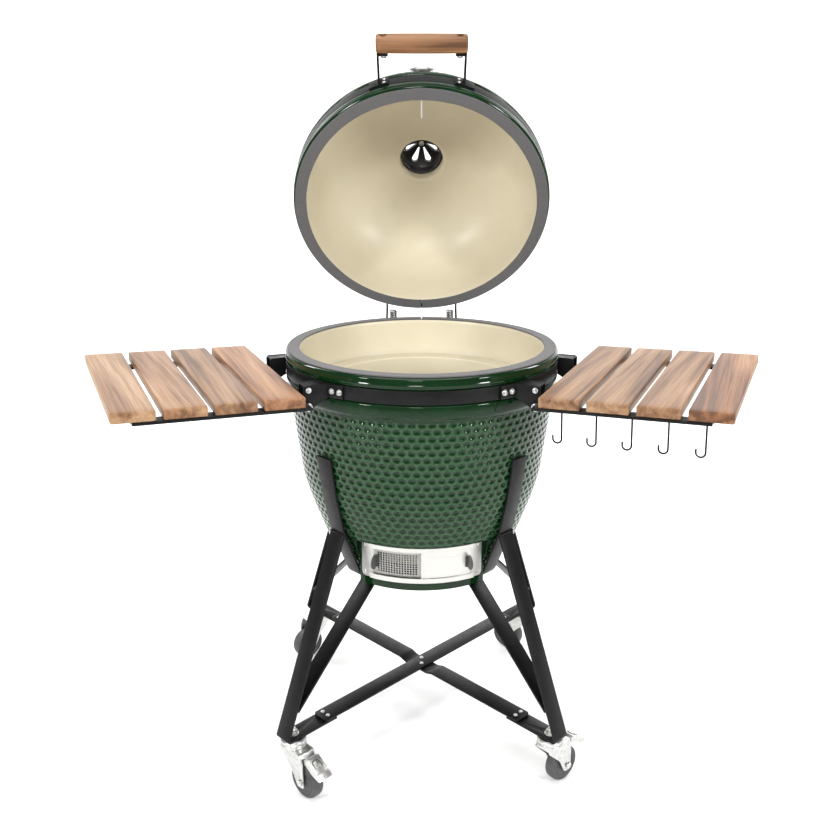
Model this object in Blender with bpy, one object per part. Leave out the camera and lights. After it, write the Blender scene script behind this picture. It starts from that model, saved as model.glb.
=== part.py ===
# Ceramic charcoal grill (kamado) with its lid open, on a four-legged flat-bar
# stand with casters and two folding wooden side shelves.
# Metres, +Z up. The floor is z = 0 and the front is -Y.
import math

import bmesh
import bpy
from mathutils import Matrix, Vector

# ---------------------------------------------------------------- dimensions
BODY_Y = -0.01421         # the bowl's axis in y; x is the symmetry plane
RIM_Z = 0.880             # height of the bowl's rim above the floor
SEG = 36                  # facets round the ceramics

GASKET_R_OUT = 0.275      # felt on the rim
GASKET_R_IN = 0.250
GASKET_T = 0.003
BAND_R = 0.2750           # inner radius of the steel bands
BAND_T = 0.0035
BASE_BAND_Z = (-0.0525, -0.0265)
LID_BAND_Z = (0.0280, 0.0540)

HINGE_Y = 0.3075          # hinge pin, behind the rim
HINGE_DZ = -0.036         # below the rim plane
LID_OPEN = 62.0           # degrees, the stored pose
PIN_R = 0.005

FOOT_Z = 0.121            # underside of the foot plates
BAR_W = 0.040             # flat bar of the stand
BAR_T = 0.005
STEM_RADIUS = 0.370       # caster stems from the axis
WHEEL_R = 0.038
WHEEL_W = 0.026
TRAIL = 0.040             # wheel axle behind the stem
CASTER_ANGLE = {"front_left": -43.7, "front_right": 43.3,
                "rear_left": -140.5, "rear_right": 147.6}

SHELF_SPLAY = 23.84       # degrees the shelves point towards the front
SHELF_TILT = 2.0          # degrees the shelves rise outwards on their stops
SHELF_U = 0.3086          # inner edge from the axis, along the shelf's outward direction
SHELF_V = 0.0345          # middle of the slats, along the slats
SLAT_W, SLAT_L, SLAT_T = 0.0745, 0.451, 0.020
SLAT_PITCH = 0.086
SLAT_TOP = RIM_Z - 0.032
RAIL_T = 0.005
PIVOT_U = SHELF_U - 0.020
PIVOT_Z = SLAT_TOP - 0.034

DOOR_R = 0.2022           # inner radius of the draft door's plates
DOOR_Z = (-0.4450, -0.3650)

# ------------------------------------------------------------------ clearing
for ob in list(bpy.data.objects):
    bpy.data.objects.remove(ob, do_unlink=True)
SCENE = bpy.context.scene.collection


def material(name, rgb, rough, metal=0.0, coat=0.0):
    m = bpy.data.materials.new(name)
    m.use_nodes = True
    b = m.node_tree.nodes["Principled BSDF"]
    b.inputs["Base Color"].default_value = (*rgb, 1.0)
    b.inputs["Roughness"].default_value = rough
    b.inputs["Metallic"].default_value = metal
    b.inputs["Coat Weight"].default_value = coat
    return m


GLAZE = material("green_glaze", (0.010, 0.075, 0.022), 0.12, 0.0, 0.6)
CERAMIC = material("cream_ceramic", (0.76, 0.69, 0.55), 0.55)
FELT = material("grey_felt", (0.10, 0.095, 0.105), 0.95)
BLACK = material("black_steel", (0.020, 0.021, 0.022), 0.40, 0.3)
IRON = material("cast_iron", (0.018, 0.018, 0.019), 0.6, 0.6)
WOOD = material("oiled_hardwood", (0.42, 0.22, 0.10), 0.5)
STEEL = material("brushed_steel", (0.62, 0.62, 0.60), 0.32, 1.0)
ZINC = material("zinc_steel", (0.66, 0.66, 0.64), 0.35, 1.0)
RUBBER = material("grey_rubber", (0.055, 0.056, 0.058), 0.75)

# ------------------------------------------------------------------- helpers


def empty(name, loc, parent=None):
    e = bpy.data.objects.new(name, None)
    SCENE.objects.link(e)
    if parent:
        e.parent = parent
    e["at"] = tuple(loc)
    base = Vector(parent["at"]) if parent else Vector((0, 0, 0))
    e.location = Vector(loc) - base
    return e


def finish(bm, name, mat, parent=None, origin=None, sharp=35.0):
    """Turn a bmesh in grill coordinates into an object whose origin is given."""
    bmesh.ops.remove_doubles(bm, verts=bm.verts, dist=1e-6)
    bmesh.ops.recalc_face_normals(bm, faces=bm.faces)
    origin = Vector(origin if origin is not None else (parent["at"] if parent else (0, 0, 0)))
    bmesh.ops.translate(bm, verts=bm.verts, vec=-origin)
    me = bpy.data.meshes.new(name)
    bm.to_mesh(me)
    bm.free()
    me.materials.append(mat)
    me.shade_smooth()
    me.set_sharp_from_angle(angle=math.radians(sharp))
    ob = bpy.data.objects.new(name, me)
    SCENE.objects.link(ob)
    if parent:
        ob.parent = parent
        ob.location = origin - Vector(parent["at"])
    else:
        ob.location = origin
    return ob


def spin(profile, seg=SEG, a0=0.0, turn=360.0):
    """Revolve a closed outline of (r, z) about the grill's axis."""
    bm = bmesh.new()
    c, s = math.cos(math.radians(a0)), math.sin(math.radians(a0))
    vs = [bm.verts.new((r * c, r * s, z)) for r, z in profile]
    es = [bm.edges.new((vs[i], vs[(i + 1) % len(vs)])) for i in range(len(vs))]
    es = [e for e in es if not (e.verts[0].co.xy.length < 1e-7 and e.verts[1].co.xy.length < 1e-7)]
    full = abs(turn - 360.0) < 1e-6
    if full:
        bmesh.ops.spin(bm, geom=vs + es, cent=(0, 0, 0), axis=(0, 0, 1),
                       angle=math.tau, steps=seg, use_merge=True)
    else:
        f = bm.faces.new(vs)
        bmesh.ops.spin(bm, geom=[f], cent=(0, 0, 0), axis=(0, 0, 1),
                       angle=math.radians(turn), steps=seg)
    bmesh.ops.remove_doubles(bm, verts=bm.verts, dist=1e-6)
    bmesh.ops.dissolve_degenerate(bm, edges=bm.edges, dist=1e-7)
    return bm


def place(bm, matrix):
    bmesh.ops.transform(bm, matrix=matrix, verts=bm.verts)
    return bm


def frame(origin, ex, ey, ez):
    return Matrix(((ex[0], ey[0], ez[0], origin[0]),
                   (ex[1], ey[1], ez[1], origin[1]),
                   (ex[2], ey[2], ez[2], origin[2]),
                   (0, 0, 0, 1)))


def prism(outline, d0, d1, matrix=None):
    """Extrude a flat outline (x, y) from z = d0 to d1, then place it."""
    bm = bmesh.new()
    vs = [bm.verts.new((x, y, d0)) for x, y in outline]
    f = bm.faces.new(vs)
    got = bmesh.ops.extrude_face_region(bm, geom=[f])
    bmesh.ops.translate(bm, vec=(0, 0, d1 - d0),
                        verts=[g for g in got["geom"] if isinstance(g, bmesh.types.BMVert)])
    bmesh.ops.recalc_face_normals(bm, faces=bm.faces)
    if matrix is not None:
        place(bm, matrix)
    return bm


def box(x0, x1, y0, y1, z0, z1, matrix=None):
    return prism([(x0, y0), (x1, y0), (x1, y1), (x0, y1)], z0, z1, matrix)


def round_box(x0, x1, y0, y1, z0, z1, r, n=3, matrix=None):
    pts = []
    for cx, cy, a in ((x1 - r, y1 - r, 0), (x0 + r, y1 - r, 90), (x0 + r, y0 + r, 180), (x1 - r, y0 + r, 270)):
        for i in range(n + 1):
            t = math.radians(a + 90.0 * i / n)
            pts.append((cx + r * math.cos(t), cy + r * math.sin(t)))
    return prism(pts, z0, z1, matrix)


def disc(r, z0, z1, seg=16, matrix=None, phase=0.0):
    pts = [(r * math.cos(phase + math.tau * i / seg), r * math.sin(phase + math.tau * i / seg)) for i in range(seg)]
    return prism(pts, z0, z1, matrix)


def strip(path, t):
    """Outline of a bar of thickness t along a bent path of (r, z) points."""
    left, right = [], []
    n = len(path)
    for i, p in enumerate(path):
        p = Vector(p)
        a = (p - Vector(path[i - 1])).normalized() if i else None
        b = (Vector(path[i + 1]) - p).normalized() if i < n - 1 else None
        d = ((a or b) + (b or a)).normalized()
        nrm = Vector((-d.y, d.x))
        ref = a or b
        k = (t / 2) / max(0.3, nrm.dot(Vector((-ref.y, ref.x))))
        left.append(p + nrm * k)
        right.append(p - nrm * k)
    return [(v.x, v.y) for v in left + right[::-1]]


def solid(bm, name="tool"):
    me = bpy.data.meshes.new(name)
    bmesh.ops.recalc_face_normals(bm, faces=bm.faces)
    bm.to_mesh(me)
    bm.free()
    ob = bpy.data.objects.new(name, me)
    SCENE.objects.link(ob)
    ob.hide_render = True
    ob.display_type = 'WIRE'
    return ob


def combine(bm, steps):
    """Apply (operation, bmesh) steps with exact booleans; returns a bmesh."""
    base = solid(bm, "work")
    tools = []
    for op, b in steps:
        tool = solid(b)
        tools.append(tool)
        mod = base.modifiers.new("cut", 'BOOLEAN')
        mod.operation = op
        mod.solver = 'EXACT'
        mod.object = tool
    bpy.context.view_layer.update()
    ev = base.evaluated_get(bpy.context.evaluated_depsgraph_get())
    me = bpy.data.meshes.new_from_object(ev)
    out = bmesh.new()
    out.from_mesh(me)
    bpy.data.meshes.remove(me)
    for o in tools + [base]:
        bpy.data.objects.remove(o, do_unlink=True)
    bmesh.ops.remove_doubles(out, verts=out.verts, dist=2e-6)
    bmesh.ops.dissolve_degenerate(out, edges=out.edges, dist=1e-6)
    return out


def sector(r0, r1, z0, z1, mid, half, seg=14):
    """A block of a ring about the axis, centred on the angle mid (degrees)."""
    return spin([(r0, z0), (r1, z0), (r1, z1), (r0, z1)], seg, mid - half, 2 * half)


def turned(matrix, profile, seg=20):
    return place(spin(profile, seg), matrix)


AXIS = Matrix.Translation((0, BODY_Y, 0))
RIM = Matrix.Translation((0, BODY_Y, RIM_Z))
ALONG_X = Matrix(((0, 0, 1, 0), (1, 0, 0, 0), (0, 1, 0, 0), (0, 0, 0, 1)))

ROOT = empty("grill", (0, 0, 0))
LID = empty("lid_pivot", (0, BODY_Y + HINGE_Y, RIM_Z + HINGE_DZ), ROOT)

# ------------------------------------------------------------ ceramic bowl
outer = [(0.2755, -0.0032), (0.2790, -0.0065), (0.2790, -0.0235), (0.2745, -0.0255),
         (0.2745, -0.0540), (0.2790, -0.0560), (0.2785, -0.0790), (0.2740, -0.0830),
         (0.2670, -0.1450), (0.2575, -0.2200), (0.2500, -0.2700), (0.2360, -0.3190),
         (0.2210, -0.3610), (0.2050, -0.4030), (0.1870, -0.4380), (0.1650, -0.4620), (0.1450, -0.4700)]
inner = [(0.1450, -0.4450), (0.1700, -0.4240), (0.1900, -0.3850), (0.2100, -0.3300),
         (0.2240, -0.2700), (0.2370, -0.1400), (0.2410, -0.0950), (0.2475, -0.0600), (0.2500, -0.0032)]
bm = spin([(0.0, -0.4700)] + outer[::-1] + inner[::-1] + [(0.0, -0.4450)], SEG)
bm = combine(bm, [
    ('UNION', spin([(0.1600, -0.4660), (DOOR_R - 0.0007, -0.4660), (DOOR_R - 0.0007, -0.4000), (0.1950, -0.4000), (0.1750, -0.4400)],
                   16, -90.0 - 38.0, 76.0)),
    ('DIFFERENCE', sector(DOOR_R - 0.0007, 0.250, -0.4600, -0.3625, -90.0, 39.0)),
    ('DIFFERENCE', sector(0.120, 0.260, -0.4270, -0.3830, -90.0, 27.0)),
])
base_shell = finish(place(bm, RIM), "base_shell", GLAZE, ROOT)

felt = [(GASKET_R_IN, 0.0), (GASKET_R_IN, -0.0029), (GASKET_R_OUT, -0.0029), (GASKET_R_OUT, 0.0)]
finish(place(spin(felt, SEG), RIM), "base_gasket", FELT, ROOT)

# fire ring, fire box and the charcoal grate inside the bowl
ring = [(0.1950, -0.0790), (0.1970, -0.0770), (0.2330, -0.0770), (0.2350, -0.0790), (0.2290, -0.1640), (0.1950, -0.1640)]
finish(place(spin(ring, 32), RIM), "fire_ring", CERAMIC, ROOT)
firebox = [(0.2290, -0.1645), (0.2130, -0.2700), (0.1780, -0.3850), (0.1300, -0.4440), (0.0, -0.4440),
           (0.0, -0.4020), (0.1100, -0.4020), (0.1450, -0.3800), (0.1480, -0.3600), (0.1900, -0.2600), (0.1980, -0.1645)]
bm = combine(spin(firebox, 28), [
    ('DIFFERENCE', sector(0.080, 0.240, -0.4350, -0.3900, -90.0, 20.0, 8)),
    ('DIFFERENCE', disc(0.060, -0.460, -0.380, 20)),
])
finish(place(bm, RIM), "fire_box", CERAMIC, ROOT)
grate = disc(0.1360, -0.3790, -0.3710, 28)
slots = [('DIFFERENCE', round_box(-0.110 + 0.016 * abs(k), 0.110 - 0.016 * abs(k), 0.034 * k - 0.007, 0.034 * k + 0.007,
                                  -0.390, -0.360, 0.005, 2)) for k in range(-3, 4) if k]
finish(place(combine(grate, slots), RIM), "charcoal_grate", IRON, ROOT)

band = [(BAND_R, BASE_BAND_Z[0]), (BAND_R + BAND_T, BASE_BAND_Z[0]),
        (BAND_R + BAND_T, BASE_BAND_Z[1]), (BAND_R, BASE_BAND_Z[1])]
finish(place(spin(band, SEG), RIM), "base_band", BLACK, ROOT)

# ------------------------------------------------------------- draft door
f0, f1 = DOOR_R, DOOR_R + 0.0014
lo, hi = DOOR_Z
plate = sector(f0, f1, lo, hi, -90.0, 36.6, 12)
window = sector(f0 - 0.01, f1 + 0.01, lo + 0.018, hi - 0.018, -90.0, 26.0, 8)
lower = spin([(f1 - 0.0008, lo + 0.002), (f1 + 0.0060, lo + 0.002), (f1 + 0.0060, lo + 0.012), (f1 + 0.0045, lo + 0.012),
              (f1 + 0.0045, lo + 0.0035), (f1 - 0.0008, lo + 0.0035)], 10, -90.0 - 30.0, 60.0)
upper = spin([(f1 - 0.0008, hi - 0.0035), (f1 + 0.0045, hi - 0.0035), (f1 + 0.0045, hi - 0.012), (f1 + 0.0060, hi - 0.012),
              (f1 + 0.0060, hi - 0.002), (f1 - 0.0008, hi - 0.002)], 10, -90.0 - 30.0, 60.0)
bm = combine(plate, [('DIFFERENCE', window), ('UNION', lower), ('UNION', upper)])
finish(place(bm, RIM), "draft_frame", STEEL, ROOT)


def draft_panel(name, r0, mid, half, tab_at, empty_name):
    """A curved plate in the frame's channels, with an upright finger tab at one end."""
    bm = sector(r0, r0 + 0.0010, lo + 0.0045, hi - 0.0045, mid, half, 6)
    tab = [(0.0, 0.012), (0.010, 0.016), (0.019, 0.010), (0.021, 0.0), (0.019, -0.010), (0.010, -0.016), (0.0, -0.012)]
    a = math.radians(tab_at)
    er, et = (math.cos(a), math.sin(a), 0), (-math.sin(a), math.cos(a), 0)
    m = frame((er[0] * (r0 + 0.0004), er[1] * (r0 + 0.0004), (lo + hi) / 2), er, (0, 0, 1), (et[0], et[1], 0))
    bm = combine(bm, [('UNION', prism(tab, -0.0011, 0.0011, m))])
    e = empty(empty_name, (0, BODY_Y, RIM_Z + (lo + hi) / 2), ROOT)
    return finish(place(bm, RIM), name, STEEL, e)


draft_panel("draft_screen", f1 + 0.0006, -104.0, 14.2, -116.5, "draft_screen_pivot")
draft_panel("draft_door", f1 + 0.0024, -76.2, 14.2, -63.5, "draft_door_pivot")

# ------------------------------------------------------------------- hinge
py, pz = BODY_Y + HINGE_Y, RIM_Z + HINGE_DZ
zb0, zb1 = RIM_Z + BASE_BAND_Z[0], RIM_Z + BASE_BAND_Z[1]


def ear(x0, x1, pts):
    """A plate across x, outlined by (y, z) in the hinge's own coordinates."""
    return prism(pts, x0, x1, frame((0, py, pz), (0, 1, 0), (0, 0, 1), (1, 0, 0)))


def arc_pts(r, a0, a1, n, cx=0.0, cy=0.0):
    return [(cx + r * math.cos(math.radians(a0 + (a1 - a0) * i / n)),
             cy + r * math.sin(math.radians(a0 + (a1 - a0) * i / n))) for i in range(n + 1)]


BACK = BAND_R + BAND_T + 0.0005 - HINGE_Y           # band's back face seen from the pin
base_plate = box(-0.0900, 0.0900, py + BACK, py + BACK + 0.0040, zb0, zb1)
base_ear = [(BACK + 0.001, zb0 - pz + 0.001), (BACK + 0.001, zb1 - pz - 0.001)] + arc_pts(0.011, 80, -80, 6)
bm = combine(base_plate, [('UNION', ear(0.0860, 0.0899, base_ear)), ('UNION', ear(-0.0899, -0.0860, base_ear)),
                          ('DIFFERENCE', place(disc(PIN_R + 0.0003, -0.12, 0.12, 16), frame((0, py, pz), (0, 1, 0), (0, 0, 1), (1, 0, 0))))])
finish(bm, "base_hinge_bracket", BLACK, ROOT)

pin = [(0, -0.0960), (PIN_R, -0.0960), (PIN_R, 0.0920), (0.0085, 0.0920), (0.0085, 0.0960), (0, 0.0960)]
finish(turned(frame((0, py, pz), (0, 1, 0), (0, 0, 1), (1, 0, 0)), pin, 16), "hinge_pin", ZINC, ROOT)
for side, sx in (("left", -1), ("right", 1)):
    coil = [(0.0052, 0.0), (0.0090, 0.0), (0.0090, 0.0410), (0.0052, 0.0410)]
    m = Matrix.Translation((sx * 0.0670, py, pz + PIN_R + 0.0004))
    finish(turned(m, coil, 20), "hinge_spring_" + side, ZINC, ROOT)

lb0, lb1 = LID_BAND_Z[0] - HINGE_DZ, LID_BAND_Z[1] - HINGE_DZ    # above the pin, lid closed
lid_plate = prism([(BACK, lb0), (BACK + 0.004, lb0), (BACK + 0.004, lb1), (BACK, lb1)], -0.0855, 0.0855,
                  frame((0, py, pz), (0, 1, 0), (0, 0, 1), (1, 0, 0)))
lid_ear = [(BACK + 0.001, lb1 - 0.001), (BACK + 0.001, lb0 + 0.001), (BACK + 0.012, lb0 - 0.014)] + \
    arc_pts(0.0115, 170, 370, 8) + [(0.010, lb0), (BACK + 0.016, lb1 - 0.001)]
bm = combine(lid_plate, [('UNION', ear(0.0810, 0.0852, lid_ear)), ('UNION', ear(-0.0852, -0.0810, lid_ear)),
                         ('DIFFERENCE', place(disc(PIN_R + 0.0003, -0.12, 0.12, 16), frame((0, py, pz), (0, 1, 0), (0, 0, 1), (1, 0, 0))))])
finish(bm, "lid_hinge_bracket", BLACK, LID)

# --------------------------------------------------------------------- lid
VENT_R = 0.0500
touter = [(0.2755, 0.0042), (0.2790, 0.0075), (0.2790, 0.0250), (0.2745, 0.0270), (0.2745, 0.0555),
          (0.2790, 0.0575), (0.2782, 0.0690), (0.2738, 0.0730), (0.2600, 0.1110), (0.2465, 0.1400),
          (0.2300, 0.1660), (0.2040, 0.1915), (0.1660, 0.2130), (0.1190, 0.2280), (0.0720, 0.2355), (VENT_R, 0.2370)]
tinner = [(VENT_R, 0.2080), (0.1000, 0.2030), (0.1500, 0.1890), (0.1950, 0.1620), (0.2260, 0.1260),
          (0.2420, 0.0850), (0.2480, 0.0450), (0.2500, 0.0042)]
bm = spin(touter + tinner, SEG)
TH_R, TH_Z, TH_TILT = 0.2630, 0.1030, 22.0            # dial's foot on the dome, and the dome's slope there
th_n = (0.0, -math.cos(math.radians(TH_TILT)), math.sin(math.radians(TH_TILT)))
th_v = (0.0, math.sin(math.radians(TH_TILT)), math.cos(math.radians(TH_TILT)))
probe_hole = place(disc(0.0060, -0.060, 0.030, 12), frame((0, -TH_R, TH_Z), (1, 0, 0), th_v, th_n))
bm = combine(bm, [('DIFFERENCE', probe_hole)])
finish(place(bm, RIM), "lid_shell", GLAZE, LID)
finish(place(spin([(r, 0.0010 + (0.0 if z == 0.0 else 0.0029)) for r, z in felt], SEG), RIM), "lid_gasket", FELT, LID)
finish(place(spin([(r, z - BASE_BAND_Z[0] + LID_BAND_Z[0]) for r, z in band], SEG), RIM), "lid_band", BLACK, LID)

# thermometer: a dial outside, a probe through the wall
th = [(0.0, -0.0930), (0.0022, -0.0910), (0.0022, -0.0020), (0.0045, -0.0010), (0.0045, 0.0012), (0.0240, 0.0014),
      (0.0260, 0.0030), (0.0260, 0.0070), (0.0245, 0.0082), (0.0, 0.0082)]
m = frame((0, BODY_Y - TH_R, RIM_Z + TH_Z), (1, 0, 0), th_v, th_n)
finish(turned(m, th, 24), "thermometer", STEEL, LID)

# lid handle: two flat arms on the band, a wooden grip and its bolts
HX, HB, HR, HT = 0.0860, 0.0745, 0.3520, 0.0300      # arms, bolts, grip centre
for side, sx in (("left", -1), ("right", 1)):
    pts = [(-0.2640, 0.0290), (-0.2640, 0.0530), (-0.2920, 0.0520), (-(HR - 0.0170), 0.0400), (-(HR - 0.0170), 0.0200), (-0.2920, 0.0300)]
    m = frame((0, BODY_Y, RIM_Z), (0, 1, 0), (0, 0, 1), (1, 0, 0))
    arm = prism(pts, sx * HX - 0.002, sx * HX + 0.002, m)
    tip = box(min(sx * 0.0660, sx * 0.0876), max(sx * 0.0660, sx * 0.0876), -(HR - 0.0176), -(HR - 0.0210), 0.0200, 0.0400, Matrix.Translation((0, BODY_Y, RIM_Z)))
    ang = math.degrees(math.asin(sx * HX / (BAND_R + BAND_T)))
    pad = sector(BAND_R + BAND_T + 0.0004, BAND_R + BAND_T + 0.0040, 0.0285, 0.0535, -90.0 + ang, 4.2, 3)
    bm = combine(arm, [('UNION', place(pad, RIM)), ('UNION', tip),
                       ('DIFFERENCE', place(spin([(0.10, 0.0), (0.2802, 0.0), (0.2802, 0.0278), (BAND_R + BAND_T + 0.0004, 0.0278), (BAND_R + BAND_T + 0.0004, 0.0545),
                                                  (0.2802, 0.0545), (0.2802, 0.08), (0.10, 0.08)], SEG), RIM)),
                       ('DIFFERENCE', place(disc(0.0040, 0.320, 0.345, 12), frame((sx * HB, BODY_Y, RIM_Z + HT), (1, 0, 0), (0, 0, 1), (0, -1, 0))))])
    finish(bm, "handle_bracket_" + side, BLACK, LID)

# oval wooden grip: lofted rings along x
bm = bmesh.new()
GL, GW, GH = 0.0892, 0.0170, 0.0165
stations = [(-GL, 0.86), (-GL + 0.003, 0.95), (-GL + 0.009, 1.0), (0.0, 1.03), (GL - 0.009, 1.0), (GL - 0.003, 0.95), (GL, 0.86)]
rings = []
for x, k in stations:
    ring_v = []
    for i in range(16):
        a = math.tau * i / 16
        ca, sa = math.cos(a), math.sin(a)
        ring_v.append(bm.verts.new((x, BODY_Y - HR + GW * k * math.copysign(abs(ca) ** 0.75, ca),
                                    RIM_Z + HT + GH * k * math.copysign(abs(sa) ** 0.75, sa))))
    rings.append(ring_v)
for a, b in zip(rings, rings[1:]):
    for i in range(16):
        bm.faces.new((a[i], a[(i + 1) % 16], b[(i + 1) % 16], b[i]))
bm.faces.new(rings[0])
bm.faces.new(rings[-1][::-1])
bores = [('DIFFERENCE', place(disc(0.0042, 0.320, 0.380, 12), frame((sx * HB, BODY_Y, RIM_Z + HT), (1, 0, 0), (0, 0, 1), (0, -1, 0)))) for sx in (-1, 1)]
sinks = [('DIFFERENCE', place(disc(0.0070, HR + 0.0080, 0.380, 14), frame((sx * HB, BODY_Y, RIM_Z + HT), (1, 0, 0), (0, 0, 1), (0, -1, 0)))) for sx in (-1, 1)]
finish(combine(bm, bores + sinks), "handle_grip", WOOD, LID)
for side, sx in (("left", -1), ("right", 1)):
    bolt = [(0.0, 0.3235), (0.0050, 0.3245), (0.0062, 0.3270), (0.0062, 0.3302), (0.0030, 0.3302), (0.0030, HR + 0.0084),
            (0.0060, HR + 0.0084), (0.0060, HR + 0.0120), (0.0, HR + 0.0135)]
    m = frame((sx * HB, BODY_Y, RIM_Z + HT), (1, 0, 0), (0, 0, 1), (0, -1, 0))
    finish(turned(m, bolt, 12), "handle_bolt_" + side, ZINC, LID)

# top vent: collar in the dome, slotted cap, turning damper and its screw
collar = [(0.0435, 0.2090), (0.0490, 0.2090), (0.0490, 0.2385), (0.0620, 0.2375), (0.0620, 0.2410), (0.0500, 0.2440),
          (0.0500, 0.2480), (0.0435, 0.2480)]
finish(place(spin(collar, 24), RIM), "vent_collar", IRON, LID)


def petals(r_in, r_out, w, z0, z1, turn=0.0, count=6):
    """Teardrop cutters round the vent's axis."""
    steps = []
    for k in range(count):
        a = math.radians(turn + 360.0 * k / count)
        pts = [(r_in, -w * 0.10)] + [(r_out - w / 2 + (w / 2) * math.cos(t), (w / 2) * math.sin(t))
                                     for t in (math.radians(-70 + 70 * i) for i in range(3))] + [(r_in, w * 0.10)]
        rot = [(x * math.cos(a) - y * math.sin(a), x * math.sin(a) + y * math.cos(a)) for x, y in pts]
        steps.append(('DIFFERENCE', prism(rot, z0, z1)))
    return steps


cap = [(0.0, 0.2880), (0.0, 0.2915), (0.0080, 0.2915), (0.0300, 0.2700), (0.0440, 0.2540), (0.0520, 0.2500), (0.0520, 0.2484), (0.0440, 0.2490), (0.0280, 0.2665), (0.0070, 0.2880)]
bm = combine(spin(cap, 24), petals(0.0110, 0.0380, 0.0150, 0.20, 0.32) + [('DIFFERENCE', disc(0.0036, 0.2, 0.32, 12))])
finish(place(bm, RIM), "vent_cap", IRON, LID)
DAMPER = empty("damper_pivot", (0, BODY_Y, RIM_Z + 0.2600), LID)
damp = [(0.0, 0.2922), (0.0, 0.2955), (0.0090, 0.2955), (0.0310, 0.2745), (0.0450, 0.2583), (0.0520, 0.2545), (0.0520, 0.2507), (0.0440, 0.2547), (0.0300, 0.2707), (0.0080, 0.2922)]
bm = combine(spin(damp, 24), petals(0.0110, 0.0380, 0.0150, 0.20, 0.32) + [('DIFFERENCE', disc(0.0036, 0.2, 0.32, 12))])
bm = combine(bm, [('UNION', round_box(0.0475, 0.0620, -0.0070, 0.0070, 0.2532, 0.2554, 0.004, 2))])
finish(place(bm, RIM), "vent_damper", IRON, DAMPER)
screw = [(0.0, 0.2835), (0.0065, 0.2835), (0.0065, 0.2875), (0.0030, 0.2875), (0.0030, 0.2958), (0.0070, 0.2958), (0.0070, 0.2978), (0.0, 0.2995)]
finish(place(spin(screw, 12), RIM), "vent_screw", ZINC, LID)

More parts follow.
